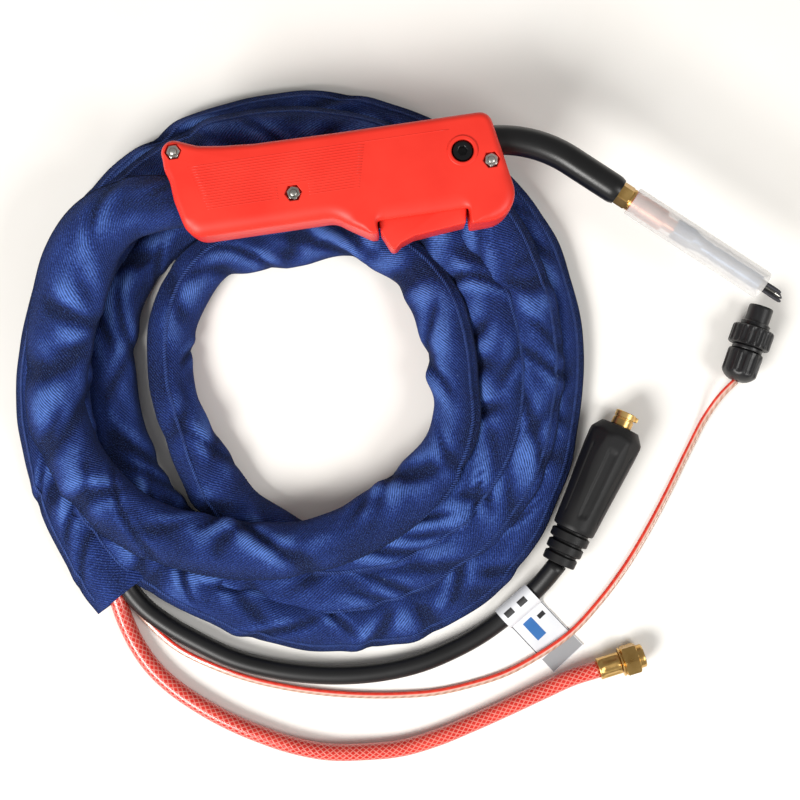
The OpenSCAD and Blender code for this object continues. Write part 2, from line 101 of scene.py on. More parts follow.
CONTROL_ROUTE = [[-168, -224, 12], [-159, -246, 3], [-144, -265, 1.8], [-123, -280, 1.8],
                 [-100, -292, 1.8], [-79, -300, 1.8], [-57, -306.5, 1.8], [-34, -311.5, 1.8],
                 [-10, -315, 1.8], [12, -316.5, 1.8], [34, -315, 1.8], [57, -311, 2.4],
                 [79, -303, 2.6], [101, -292, 2.2], [121, -276, 1.8], [141, -256, 1.8],
                 [159, -234, 1.8], [175, -212, 1.8], [190, -190, 1.8], [204, -170, 4],
                 [215, -157.5, 9.5], [223, -151, 13]]
POWER_END_A = math.radians(57.1)
GAS_END_A = math.radians(9)
CONTROL_END_A = math.radians(62.4)

# The sleeve: from the handle down to the coil, then around it. Each row of TURNS is one step of 30
# degrees: radius, height, roll in degrees (outer edge up) and half width.
COIL_XY = np.array([-0.040, -0.106])
LEAD_ROUTE = [[-84, -2, 64], [-96, -2, 63.5], [-110, -1, 62], [-128, -3, 59.5], [-145, -12, 56],
              [-158, -28, 51], [-169, -48, 46], [-177, -70, 40]]
LEAD_HALF_W = [14.5, 15, 17, 19, 20, 19.5, 18.5, 17.5]
TURNS = [
    [146, 36, 6, 16], [136, 34, 10, 17], [115, 31, 12, 16.5], [104, 29, 14, 14.5], [99, 27, 18, 15],
    [99, 25, 20, 14.5], [90, 22, 20, 14.5], [91, 20, 14, 12.5], [87, 17, 10, 12], [77, 13, 6, 13.5],
    [87, 12, 14, 13], [84, 13, 30, 13.5], [80, 14, 42, 14], [81, 13, 24, 15.5], [97, 11, 10, 16],
    [112, 14, 10, 16.5], [121, 17, 14, 16.5], [123, 19, 16, 16.5], [120, 19, 16, 17], [118, 18, 14, 17],
    [113, 15, 10, 16.5], [107, 11, 6, 15.5], [115, 10, 0, 14], [119, 10, 0, 13.5], [118, 10, 0, 14],
    [122, 10, 0, 15.5], [128, 10, 2, 16.5], [134, 12, 6, 16.5], [140, 15, 10, 16], [142, 17, 12, 16],
    [142, 18, 12, 16], [142, 22, 6, 16.5], [141, 28, 0, 16.5], [140, 30, 0, 16.5], [143, 26, 4, 16.5],
    [145, 21, 10, 16.5], [146, 18, 12, 16.5], [148, 14, 10, 16.5], [148, 11, 4, 16.5],
    [157, 10, 2, 16.5], [163, 10, 2, 16.5], [156, 10, 2, 16], [155, 10, 2, 16], [157, 10, 2, 16], [156, 10, 2, 16],
    [153, 10, 0, 16], [152, 10, 0, 16], [155, 10, 0, 16], [158, 10, 0, 16.5], [168, 10, 0, 18.5],
]
FIRST_TURN_A = 180
MOUTH = [223.4, 173, 11, 0, 20.5]
SLEEVE_ROUND = 0.094
SLEEVE_STEP = 0.0029
CLOTH = 0.9 * MM
STITCH_STEP = 0.0016
CORD_GAP = 1.5 * MM

# The degrees round the coil at which cable and hose cross under the handle, and at which the control
# lead climbs over them
CROSSING_AT = 1155
CLIMB_AT = 1288

# Camera and lights
CAMERA_AT = (0.0167, -0.1329, 0.85)
CAMERA_LENS = 61.2
CAMERA_TURN = math.radians(-8.3)
LIGHT_AIM = (0.02, -0.12, 0)
FLOOR_HALF = 6


# ------------------------------------------------------------------ numbers

def smooth(x):
    x = np.clip(x, 0, 1)
    return x * x * (3 - 2 * x)


def unit(v):
    return v / np.linalg.norm(v, axis=-1, keepdims=True)


def run_of(p):
    """How far along a line each of its points is."""
    return np.concatenate([[0], np.cumsum(np.linalg.norm(np.diff(p, axis=0), axis=1))])


def line_length(p):
    return float(run_of(p)[-1])


def spline(points, step, extra=None):
    """Points a step apart on a smooth line through the given points, the extra columns there, and
    how far along each point is."""
    p = np.asarray(points, float)
    t = run_of(p[:, :3])
    if extra is not None:
        p = np.column_stack([p, extra])
    slope = np.gradient(p, t, axis=0)
    fine = np.linspace(0, t[-1], max(64, int(t[-1] / step) * 8))
    i = np.clip(np.searchsorted(t, fine, side="right") - 1, 0, len(t) - 2)
    h = (t[i + 1] - t[i])[:, None]
    u = ((fine - t[i]) / h[:, 0])[:, None]
    dense = ((2 * u**3 - 3 * u**2 + 1) * p[i] + (u**3 - 2 * u**2 + u) * h * slope[i]
             + (3 * u**2 - 2 * u**3) * p[i + 1] + (u**3 - u**2) * h * slope[i + 1])
    run = run_of(dense[:, :3])
    stops = np.linspace(0, run[-1], int(round(run[-1] / step)) + 1)
    out = np.column_stack([np.interp(stops, run, column) for column in dense.T])
    return out[:, :3], out[:, 3:], stops


def sides_of(path):
    """Direction, inward side and upward side at each point of a mostly level path."""
    t = unit(np.gradient(path, axis=0))
    side = unit(np.cross(Z, t))
    return t, side, np.cross(t, side)


def noise2(x, y, seed):
    """Smooth noise from -1 to 1 over two arrays."""
    table = np.random.default_rng(seed).uniform(-1, 1, (256, 256))
    xi, yi = np.floor(x).astype(int), np.floor(y).astype(int)
    fx, fy = smooth(x - xi), smooth(y - yi)

    def row(y_row):
        return table[xi % 256, y_row % 256] * (1 - fx) + table[(xi + 1) % 256, y_row % 256] * fx
    return row(yi) * (1 - fy) + row(yi + 1) * fy


# ------------------------------------------------------------------ meshes

def add_object(name, mesh, material, body="torch", sharp=None):
    """Links a mesh as a piece that rides on a body."""
    obj = linked(name, mesh)
    mesh.materials.clear()
    mesh.materials.append(material)
    mesh.shade_smooth()
    if sharp:
        mesh.set_sharp_from_angle(angle=math.radians(sharp))
    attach(obj, body)
    return obj


def mesh_of(verts, faces, name="piece"):
    mesh = bpy.data.meshes.new(name)
    mesh.from_pydata([tuple(map(float, v)) for v in verts], [], [list(map(int, f)) for f in faces])
    mesh.validate()
    return mesh


def outward(mesh):
    bm = bmesh.new()
    bm.from_mesh(mesh)
    bmesh.ops.recalc_face_normals(bm, faces=bm.faces)
    bm.to_mesh(mesh)
    bm.free()
    return mesh


def grid(points, caps=(True, True), uv=None, closed=False):
    """A tube over rings of points, points[ring, around]. uv is (around, along) at each ring's
    points, with one more point around."""
    rings, around = points.shape[:2]
    rows = np.arange(rings if closed else rings - 1)
    i, k = np.meshgrid(rows, np.arange(around), indexing="ij")
    nxt, up = (k + 1) % around, (i + 1) % rings
    quads = np.stack([i * around + k, i * around + nxt, up * around + nxt, up * around + k], -1)
    faces = quads.reshape(-1, 4).tolist()
    corners = [(i, k), (i, k + 1), (i + 1, k + 1), (i + 1, k)]
    if caps[0]:
        faces.append(list(range(around))[::-1])
    if caps[1]:
        faces.append([(rings - 1) * around + k for k in range(around)])
    mesh = bpy.data.meshes.new("tube")
    mesh.from_pydata(points.reshape(-1, 3).tolist(), [], faces)
    if uv is not None:
        layer = mesh.uv_layers.new(name="cloth")
        flat = np.stack([np.stack([uv[0][a, b], uv[1][a, b]], -1) for a, b in corners], -2)
        values = np.zeros((len(mesh.loops), 2), np.float32)
        values[: flat.size // 2] = flat.reshape(-1, 2)
        layer.data.foreach_set("uv", values.ravel())
    return outward(mesh)


def round_angles(around):
    return np.arange(around) / around * 2 * PI


def cloth_map(run, around, wide=1.0):
    """A tube's map for grid: turns round, times wide, and metres along."""
    shape = (len(run), around + 1)
    u = np.broadcast_to(np.arange(around + 1) / around * wide, shape)
    return u, np.broadcast_to(run[:, None], shape)


def pipe(path, radius, around):
    """A round tube along a path, with a map of (turns around, metres along)."""
    _, side, up = sides_of(path)
    a = round_angles(around)[None, :, None]
    r = np.broadcast_to(np.asarray(radius, float), (len(path),))[:, None, None]
    ring = np.cos(a) * side[:, None] + np.sin(a) * up[:, None]
    return grid(path[:, None] + r * ring, uv=cloth_map(run_of(path), around))


def lathe(profile, around=64, shape=None, closed=False):
    """A turned body around Z over (radius, z) in metres. shape(angle, radius, z) gives the radius."""
    prof = np.array(profile, float)
    a = round_angles(around)
    r = np.repeat(prof[:, :1], around, 1)
    z = np.repeat(prof[:, 1:], around, 1)
    if shape is not None:
        r = shape(np.broadcast_to(a, r.shape), r, z)
    points = np.stack([r * np.cos(a), r * np.sin(a), z], -1)
    return grid(points, (not closed, not closed), closed=closed)


def turned(rows, around=64, shape=None, closed=False):
    """A turned body over rows of (radius, z) in millimetres."""
    return lathe([(r * MM, z * MM) for r, z in rows], around, shape, closed)


def hexed(af, start=0.0):
    """Cuts a turned body to a hexagon with this width across flats."""
    def shape(a, r, z):
        return np.minimum(r, af / 2 / np.cos((a + start) % (PI / 3) - PI / 6))
    return shape


def moved(mesh, *matrices):
    m = Matrix.Identity(4)
    for x in matrices:
        m = m @ x
    mesh.transform(m)
    return mesh


def joined(*meshes):
    bm = bmesh.new()
    for m in meshes:
        bm.from_mesh(m)
    mesh = bpy.data.meshes.new("joined")
    bm.to_mesh(mesh)
    bm.free()
    return mesh


def prism(outline, z0, z1):
    """A flat-ended solid over a counterclockwise outline."""
    n = len(outline)
    verts = [(x, y, z) for z in (z0, z1) for x, y in outline]
    faces = [list(range(n))[::-1], list(range(n, 2 * n))]
    faces += [[i, (i + 1) % n, n + (i + 1) % n, n + i] for i in range(n)]
    return mesh_of(verts, faces)


def box_mesh(x, y, z):
    return prism([(x[0], y[0]), (x[1], y[0]), (x[1], y[1]), (x[0], y[1])], z[0], z[1])


def rod(r, z0, z1, around=32):
    return lathe([(r, z0), (r, z1)], around)


def linked(name, data):
    """A new object of the scene."""
    obj = bpy.data.objects.new(name, data)
    bpy.context.scene.collection.objects.link(obj)
    return obj


def carve(mesh, cutters, operation="DIFFERENCE"):
    """The mesh with each cutter taken away, or added."""
    obj = linked("work", mesh)
    tools = []
    for c in cutters:
        tool = linked("tool", c)
        mod = obj.modifiers.new("cut", "BOOLEAN")
        mod.object = tool
        mod.operation = operation
        mod.solver = "EXACT"
        tools.append(tool)
    out = applied(obj)
    for tool in tools:
        bpy.data.objects.remove(tool)
    return out


def applied(obj):
    """The object's mesh with its modifiers, and the object is gone."""
    graph = bpy.context.evaluated_depsgraph_get()
    graph.update()
    mesh = bpy.data.meshes.new_from_object(obj.evaluated_get(graph))
    bpy.data.objects.remove(obj)
    return mesh


def with_modifier(mesh, kind, **settings):
    obj = linked("work", mesh)
    mod = obj.modifiers.new("m", kind)
    for key, value in settings.items():
        setattr(mod, key, value)
    return applied(obj)


def rounded(mesh, width, angle=30, segments=3):
    return with_modifier(mesh, "BEVEL", width=width, segments=segments, limit_method="ANGLE",
                         angle_limit=math.radians(angle), harden_normals=False)


def at(x, y, z=0.0):
    return Matrix.Translation((x, y, z))


def turn(angle, axis):
    return Matrix.Rotation(angle, 4, axis)


HANDLE = at(0, 0, HANDLE_Z)


def lying_at(point, angle):
    """Local Z along the table in this direction, from a point in millimetres."""
    return at(*(c * MM for c in point)) @ turn(angle, "Z") @ turn(PI / 2, "Y")


# ------------------------------------------------------------------ materials

class Nodes:
    """A material's node tree, written as nested calls."""

    def __init__(self, name):
        self.mat = bpy.data.materials.new(name)
        self.mat.use_nodes = True
        self.tree = self.mat.node_tree
        self.tree.nodes.clear()
        self.shader = self.tree.nodes.new("ShaderNodeBsdfPrincipled")
        out = self.tree.nodes.new("ShaderNodeOutputMaterial")
        self.tree.links.new(self.shader.outputs[0], out.inputs[0])

    def add(self, kind, inputs=None, out=0, **settings):
        node = self.tree.nodes.new(kind)
        for key, value in settings.items():
            setattr(node, key, value)
        for key, value in (inputs or {}).items():
            self.put(node.inputs[key], value)
        return node.outputs[out]

    def put(self, socket, value):
        if isinstance(value, bpy.types.NodeSocket):
            self.tree.links.new(value, socket)
        else:
            socket.default_value = value

    def place(self, kind="Object"):
        return self.add("ShaderNodeTexCoord", out=kind)

    def math(self, operation, a, b=0.0, c=0.0):
        return self.add("ShaderNodeMath", {0: a, 1: b, 2: c}, operation=operation)

    def noise(self, scale, detail=3.0, vector=None, rough=0.5):
        vector = vector or self.place()
        return self.add("ShaderNodeTexNoise",
                        {"Vector": vector, "Scale": scale, "Detail": detail, "Roughness": rough})

    def span(self, value, low, high, from_low=0.3, from_high=0.7):
        return self.add("ShaderNodeMapRange", {"Value": value, "From Min": from_low,
                                               "From Max": from_high, "To Min": low, "To Max": high})

    def mix(self, factor, a, b, blend="MIX"):
        node = self.tree.nodes.new("ShaderNodeMix")
        node.data_type = "RGBA"
        node.blend_type = blend
        for socket, value in zip((node.inputs[0], node.inputs[6], node.inputs[7]), (factor, a, b)):
            self.put(socket, value)
        return node.outputs[2]

    def plus(self, a, b, times):
        """a + b * times"""
        return self.math("ADD", a, self.math("MULTIPLY", b, times))

    def around_mean(self, a, b, times):
        """a + (b - 0.5) * times"""
        return self.plus(a, self.math("SUBTRACT", b, 0.5), times)

    def cloth_place(self):
        """The map's point, its turns round and its metres along."""
        where = self.add("ShaderNodeUVMap", uv_map="cloth")
        u = self.add("ShaderNodeSeparateXYZ", {0: where})
        return where, u, u.node.outputs[1]

    def bump(self, height, strength, distance, normal=None):
        inputs = {"Height": height, "Strength": strength, "Distance": distance}
        if normal is not None:
            inputs["Normal"] = normal
        return self.add("ShaderNodeBump", inputs)

    def set(self, **values):
        for key, value in values.items():
            self.put(self.shader.inputs[key.replace("_", " ")], value)
        return self.mat


def rgb(r, g, b):
    """An sRGB colour from 0 to 255 as linear numbers."""
    return tuple((c / 255 / 12.92 if c < 10.3 else ((c / 255 + 0.055) / 1.055) ** 2.4)
                 for c in (r, g, b)) + (1.0,)


def plain(name, dark, light, rough, metal=0.0, grain=900, bump=0.15, patch=18, depth=0.0001, **more):
    """Two shades in soft patches, with a fine grain. rough is a pair."""
    m = Nodes(name)
    patches = m.noise(patch, 4)
    fine = m.noise(grain, 2)
    color = m.mix(m.span(patches, 0, 1), dark, light)
    both = m.math("ADD", m.math("MULTIPLY", patches, 0.6), m.math("MULTIPLY", fine, 0.4))
    return m.set(Base_Color=color, Metallic=metal, Roughness=m.span(both, *rough),
                 Normal=m.bump(fine, bump, depth), **more)


def brushed_metal(name, dark, light, rough, lines=2500, patch=60):
    """Machined metal: fine lines in one direction, and dull patches."""
    m = Nodes(name)
    stretched = m.add("ShaderNodeMapping", {"Vector": m.place(), "Scale": (1, 1, 0.05)})
    marks = m.noise(lines, 2, stretched)
    patches = m.noise(patch, 5, rough=0.6)
    color = m.mix(m.span(patches, 0, 1), dark, light)
    rough_at = m.plus(m.span(patches, *rough), marks, 0.08)
    return m.set(Base_Color=color, Metallic=1.0, Roughness=rough_at,
                 Normal=m.bump(marks, 0.12, 0.00005))


WALE_PITCH = 0.00138
BRAID_PITCH = 0.0082


def denim():
    """Blue cotton twill with slanted wales. A value on the mesh's points paints highlight on the cloth's ridges
    and paints shade in its creases, along the edges where the rows touch and on the underside."""
    m = Nodes("blue_denim")
    where, u, v = m.cloth_place()
    # Painted light: a value per point of the cloth, high on fold ridges (painted highlight) and low in creases, at
    # the edges where rows touch and on the underside (painted shade).
    painted_shading = m.add("ShaderNodeAttribute", attribute_name="painted_shading").node.outputs["Fac"]
    wobble = m.noise(70, 3, where)
    slant = m.plus(m.math("MULTIPLY", u, 0.78), v, 0.62)
    slant = m.plus(slant, wobble, 0.0026)
    wale = m.math("SINE", m.math("MULTIPLY", slant, 2 * PI / WALE_PITCH))
    wale01 = m.math("MULTIPLY_ADD", wale, 0.5, 0.5)
    thread = m.noise(1600, 2, where)
    slub = m.noise(420, 3, where)
    cloudy = m.noise(26, 3, where)
    grain = m.noise(850, 2, where)
    # The colour level adds random cloudy tone and grain to the painted shading; its dark end is painted shade and
    # its light end painted highlight.
    level = m.around_mean(painted_shading, cloudy, 0.4)
    level = m.around_mean(level, grain, 0.9)
    base = m.mix(m.span(level, 0, 1, 0.0, 0.55), rgb(7, 13, 42), rgb(35, 58, 132))
    base = m.mix(m.span(level, 0, 1, 0.50, 1.05), base, rgb(92, 130, 214))
    dips = m.math("MULTIPLY", m.math("SUBTRACT", 1.0, wale01), m.span(slub, 0.5, 1.0))
    base = m.mix(dips, base, rgb(14, 23, 60))
    pale = m.math("MULTIPLY", m.span(thread, 0, 1, 0.52, 0.72), 0.35)
    base = m.mix(pale, base, rgb(92, 128, 204))
    fleck = m.span(m.noise(620, 1, where), 0, 1, 0.80, 0.82)
    base = m.mix(m.math("MULTIPLY", fleck, 0.5), base, rgb(160, 186, 230))
    height = m.plus(m.math("MULTIPLY", wale01, 0.75), thread, 0.35)
    soft = m.bump(m.noise(150, 3, where), 0.3, 0.0010)
    mat = m.set(Base_Color=base, Roughness=m.span(slub, 0.82, 0.95), Specular_IOR_Level=0.2,
                Normal=m.bump(height, 0.9, 0.0006, soft), Sheen_Weight=0.08,
                Sheen_Roughness=0.45)
    m.shader.inputs["Sheen Tint"].default_value = rgb(120, 150, 220)
    return mat


def braided_hose():
    """Red hose with a pale diamond braid under a clear skin."""
    m = Nodes("hose_red")
    _, u, v = m.cloth_place()
    lines = []
    for sign in (1, -1):
        along = m.math("MULTIPLY", v, sign / BRAID_PITCH * 2)
        wave = m.math("SINE", m.math("MULTIPLY", m.math("MULTIPLY_ADD", u, 10.0, along), 2 * PI))
        lines.append(m.span(wave, 0, 1, 0.55, 0.95))
    braid = m.math("MAXIMUM", lines[0], lines[1])
    cloud = m.noise(55, 3)
    red = m.mix(m.span(cloud, 0, 1), rgb(196, 30, 18), rgb(216, 46, 30))
    color = m.mix(m.math("MULTIPLY", braid, 0.42), red, rgb(246, 186, 170))
    return m.set(Base_Color=color, Roughness=m.span(cloud, 0.22, 0.36), Coat_Weight=0.6,
                 Coat_Roughness=0.12, Normal=m.bump(braid, 0.35, 0.0003))


def twin_lead():
    """Clear sheath over two wires: one red, one of tinned copper."""
    m = Nodes("clear_lead")
    _, u, v = m.cloth_place()
    angle = m.math("MULTIPLY", u, 2 * PI)
    side = m.span(m.math("COSINE", angle), 0, 1, -0.12, 0.12)
    twist = m.math("MULTIPLY_ADD", u, 3.0, m.math("MULTIPLY", v, 190.0))
    strand = m.math("SINE", m.math("MULTIPLY", twist, 2 * PI))
    copper = m.mix(m.span(strand, 0, 1, -1, 1), rgb(176, 132, 112), rgb(204, 166, 148))
    red = m.mix(m.span(m.noise(300, 2), 0, 1), rgb(200, 36, 20), rgb(226, 62, 38))
    edge = m.span(m.math("ABSOLUTE", m.math("SINE", angle)), 0, 0.55, 0.955, 1)
    color = m.mix(edge, m.mix(side, copper, red), rgb(236, 214, 200))
    return m.set(Base_Color=color, Roughness=0.28, Coat_Weight=0.7, Coat_Roughness=0.08,
                 Normal=m.bump(strand, 0.1, 0.0001))


def milky_tube():
    """Frosted, milky plastic of the guard tube; the parts inside show through it faintly."""
    m = Nodes("milky_plastic")
    cloud = m.noise(90, 3)
    color = m.mix(m.span(cloud, 0, 1), rgb(228, 226, 226), rgb(240, 238, 236))
    return m.set(Base_Color=color, Roughness=m.span(cloud, 0.38, 0.5), Alpha=0.33,
                 Specular_IOR_Level=0.35, Normal=m.bump(cloud, 0.05, 0.0002))


RED = plain("red_plastic", rgb(226, 44, 30), rgb(236, 54, 38), (0.40, 0.50), grain=1500, bump=0.12,
            patch=25, depth=0.00008, Specular_IOR_Level=0.4)
ZINC = brushed_metal("zinc_steel", rgb(168, 166, 160), rgb(214, 212, 206), (0.18, 0.34))
STEEL = brushed_metal("dark_metal", rgb(104, 124, 150), rgb(146, 168, 196), (0.26, 0.42))
GRAPHITE = plain("graphite", rgb(44, 44, 48), rgb(70, 70, 76), (0.35, 0.5), metal=0.6, grain=2500)
BRASS = brushed_metal("brass", rgb(186, 142, 74), rgb(226, 190, 122), (0.2, 0.36))
COPPER = brushed_metal("copper", rgb(196, 118, 92), rgb(226, 156, 130), (0.25, 0.4))
BLACK_STEEL = plain("black_steel", rgb(20, 20, 22), rgb(34, 34, 36), (0.22, 0.38), metal=0.5)
BLACK = plain("black_plastic", rgb(17, 17, 19), rgb(30, 30, 33), (0.34, 0.5), grain=1800, bump=0.25)
WHITE = plain("white_plastic", rgb(226, 224, 218), rgb(240, 238, 232), (0.35, 0.45))
NECK = plain("neck_rubber", rgb(11, 11, 12), rgb(19, 19, 21), (0.28, 0.42), grain=1400, bump=0.15)
CABLE = plain("cable_rubber", rgb(12, 12, 13), rgb(21, 21, 23), (0.36, 0.5), grain=1600, bump=0.2)
BOOT = plain("plug_rubber", rgb(11, 11, 12), rgb(19, 19, 21), (0.42, 0.58), grain=1800, bump=0.35,
             Specular_IOR_Level=0.35)
PAPER = plain("paper", rgb(214, 216, 221), rgb(226, 228, 232), (0.4, 0.55), grain=500, bump=0.2,
              patch=60)
BLUE_INK = plain("blue_ink", rgb(30, 84, 150), rgb(42, 106, 172), (0.4, 0.5), grain=700)
GREY_INK = plain("grey_ink", rgb(140, 141, 144), rgb(154, 155, 158), (0.4, 0.5), grain=700)
DENIM = denim()
HOSE = braided_hose()
LEAD = twin_lead()
MILKY = milky_tube()


# ------------------------------------------------------------------ stage, light and camera

def make_camera():
    """Straight down on the table, turned to the photograph's direction."""
    data = bpy.data.cameras.new("camera")
    data.sensor_width = 36
    data.lens = CAMERA_LENS
    camera = linked("camera", data)
    camera.location = CAMERA_AT
    camera.rotation_euler = (0, 0, CAMERA_TURN)
    bpy.context.scene.camera = camera


def area_light(name, place, size, power, color):
    data = bpy.data.lights.new(name, "AREA")
    data.shape = "RECTANGLE"
    data.size, data.size_y = size
    data.energy = power
    data.color = color
    lamp = linked(name, data)
    lamp.location = place
    lamp.rotation_euler = (Vector(LIGHT_AIM) - Vector(place)).to_track_quat("-Z", "Y").to_euler()


def make_stage():
    h = FLOOR_HALF
    floor = linked("floor", mesh_of([(-h, -h, 0), (h, -h, 0), (h, h, 0), (-h, h, 0)], [(0, 1, 2, 3)]))
    m = Nodes("pale_table")
    speck = m.noise(8, 4)
    floor.data.materials.append(m.set(
        Base_Color=m.mix(m.span(speck, 0, 1), rgb(246, 243, 238), rgb(250, 248, 244)),
        Roughness=0.55, Specular_IOR_Level=0.3))
    world = bpy.data.worlds.new("studio")
    world.use_nodes = True
    sky = world.node_tree.nodes["Background"]
    sky.inputs[0].default_value = (1.0, 0.985, 0.96, 1)
    sky.inputs[1].default_value = 0.30
    bpy.context.scene.world = world
    bpy.context.scene.view_settings.view_transform = "Standard"
    area_light("key", (-1.45, -1.25, 1.75), (1.2, 1.0), 72, (1, 0.985, 0.96))
    area_light("side", (1.15, -0.85, 1.45), (0.7, 0.7), 16, (1, 0.99, 0.97))


# ------------------------------------------------------------------ sleeve and cords

def sleeve_line():
    """The sleeve's centre line a step apart, with its roll and half width, the degrees round the
    coil and the run at each point."""
    points, extra = [], []
    for i, (p, w) in enumerate(zip(LEAD_ROUTE, LEAD_HALF_W)):
        points.append(np.array(p) * MM)
        extra.append([0, w * MM, FIRST_TURN_A - 3 * (len(LEAD_ROUTE) - i)])
    keys = [[FIRST_TURN_A + 30 * i] + row for i, row in enumerate(TURNS)]
    keys.append([4 * 360 + MOUTH[0]] + MOUTH[1:])
    for a, r, z, roll, w in keys:
        flat = COIL_XY + r * MM * np.array([math.cos(math.radians(a)), math.sin(math.radians(a))])
        points.append(np.array([flat[0], flat[1], z * MM]))
        extra.append([math.radians(roll), w * MM, a])
    path, more, run = spline(points, SLEEVE_STEP, extra)
    return path, more[:, 0], more[:, 1], more[:, 2], run


SLEEVE, ROLL, HALF_W, ROUND, RUN = sleeve_line()
_, SLEEVE_IN, SLEEVE_UP = sides_of(SLEEVE)
SLEEVE_SIDE = SLEEVE_IN * np.cos(ROLL)[:, None] - SLEEVE_UP * np.sin(ROLL)[:, None]
SLEEVE_RISE = SLEEVE_UP * np.cos(ROLL)[:, None] + SLEEVE_IN * np.sin(ROLL)[:, None]

# Where each cord lies in the sleeve: degrees round, millimetres inward and up from the centre line.
# Power cable and hose change places under the handle.
POWER_LANE = [[150, -9, 0], [180, -6.3, 0], [1100, -6.3, 0], [1130, -5.2, 3.6], [1155, 0, 5.9],
              [1180, 5.2, 3.6], [1210, 6.3, 0], [1700, 6.3, 0]]
GAS_LANE = [[150, 2.5, 0], [180, 5.2, 0], [1100, 5.2, 0], [1130, 4.2, -3.4], [1155, 0, -5.7],
            [1180, -4.2, -3.4], [1210, -5.4, 0], [1700, -5.4, 0]]
CONTROL_LANE = [[150, 10, -2], [170, 4, 6], [180, -0.5, 6], [1080, -0.5, 6], [1110, 6, 5.5],
                [1130, 9.5, 0], [1180, 12.5, -2], [1230, 13.5, -2], [1265, 11, 5.6], [1290, 6, 7.9],
                [1315, 1, 6.4], [1340, 0.4, 6], [1700, 0.4, 6]]


def lane(table):
    """Offsets (inward, up) of a cord along the sleeve."""
    t = np.array(table, float)
    out = [np.interp(ROUND, t[:, 0], t[:, k]) * MM for k in (1, 2)]
    kernel = np.ones(9) / 9
    return [np.convolve(np.pad(o, 4, mode="edge"), kernel, "valid") for o in out]


def in_sleeve(table, first, last):
    """Points of a cord inside the sleeve, thinned out, between two runs in metres."""
    inward, up = lane(table)
    p = SLEEVE + inward[:, None] * SLEEVE_SIDE + up[:, None] * SLEEVE_RISE
    keep = (RUN >= first) & (RUN <= last)
    return p[keep][::7]


def cord_path(start, table, tail, gap, step):
    """From inside the handle, through the sleeve, and out along the free route."""
    head = np.array(start) * MM
    inside = in_sleeve(table, 0.012, RUN[-1] - gap)
    return spline(np.vstack([head, inside, np.array(tail) * MM]), step)[0]


def make_cords():
    power = cord_path([[24, 13.6, 64], [-5, 13.6, 64], [-35, 13, 64], [-62, 10.4, 64]],
                      POWER_LANE, POWER_ROUTE[1:], 0.012, 0.004)
    gas = cord_path([[30, 2.4, 64], [0, 2.4, 64], [-35, 2, 64], [-62, -0.8, 64]],
                    GAS_LANE, GAS_ROUTE, 0.014, 0.004)
    control = cord_path([[22, -17, 56], [0, -17, 56], [-35, -16.6, 57], [-62, -14.5, 59.5]],
                        CONTROL_LANE, CONTROL_ROUTE, 0.012, 0.003)
    cable = add_object("power_cable", pipe(power, POWER_D / 2, 20), CABLE)
    hose = add_object("gas_hose", pipe(gas, GAS_D / 2, 20), HOSE)
    wire = add_object("control_lead", twin(control), LEAD)
    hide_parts("power_tail", "power_stub")
    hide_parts("gas_tail", "gas_stub")
    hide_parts("control_tail", "wire_stub")
    return (cable, power), (hose, gas), (wire, control)


def twin(path):
    """Two cores side by side in one flat sheath, which rocks a little about the cord's line."""
    _, side, up = sides_of(path)
    run = run_of(path)
    twist = 0.22 * np.sin(run * 9) + 0.12 * np.sin(run * 23 + 1)
    around = 16
    a = round_angles(around)
    w = TWIN_HALF_W * np.cos(a)
    h = TWIN_HALF_W * 0.54 * np.sin(a) * (1 + 0.35 * np.cos(a) ** 2 - 0.12)
    x = w[None] * np.cos(twist)[:, None] - h[None] * np.sin(twist)[:, None]
    y = w[None] * np.sin(twist)[:, None] + h[None] * np.cos(twist)[:, None]
    points = path[:, None] + x[..., None] * side[:, None] + y[..., None] * up[:, None]
    return grid(points, uv=cloth_map(run, around))


def folds(s, across, seed=7):
    """Height of the cloth's folds in metres over run s and place across (-1 outer to 1 inner), and
    how far they move the edges. Each is a crease between two soft ridges that starts at an edge."""
    rng = np.random.default_rng(seed)
    total = np.zeros_like(s)
    edge = np.zeros_like(s)
    x = 0.03
    while x < RUN[-1] - 0.03:
        inner = rng.random() < 0.6
        slope = rng.choice([-1, 1]) * rng.uniform(0.004, 0.030)
        bend = rng.uniform(-0.010, 0.010)
        wide = rng.uniform(0.0026, 0.0072)
        depth = rng.uniform(1.6, 4.2) * MM
        reach = rng.uniform(0.7, 2.3)
        d = s - x - slope * across - bend * across**2
        from_edge = (1 - across) if inner else (1 + across)
        fade = smooth((reach - from_edge) / (0.7 * reach) + 0.25)
        ridge = np.exp(-((d + 2.0 * wide) / (1.5 * wide)) ** 2)
        far_ridge = np.exp(-((d - 2.1 * wide) / (1.4 * wide)) ** 2)
        crease = np.exp(-np.abs(d / wide) ** 1.3)
        shape = 0.55 * ridge + 0.35 * far_ridge - crease
        total += depth * fade * shape
        edge += (1 if inner else -1) * 0.35 * depth * fade * (ridge - crease) * (from_edge < 0.9)
        x += rng.uniform(0.012, 0.036)
    return total, edge


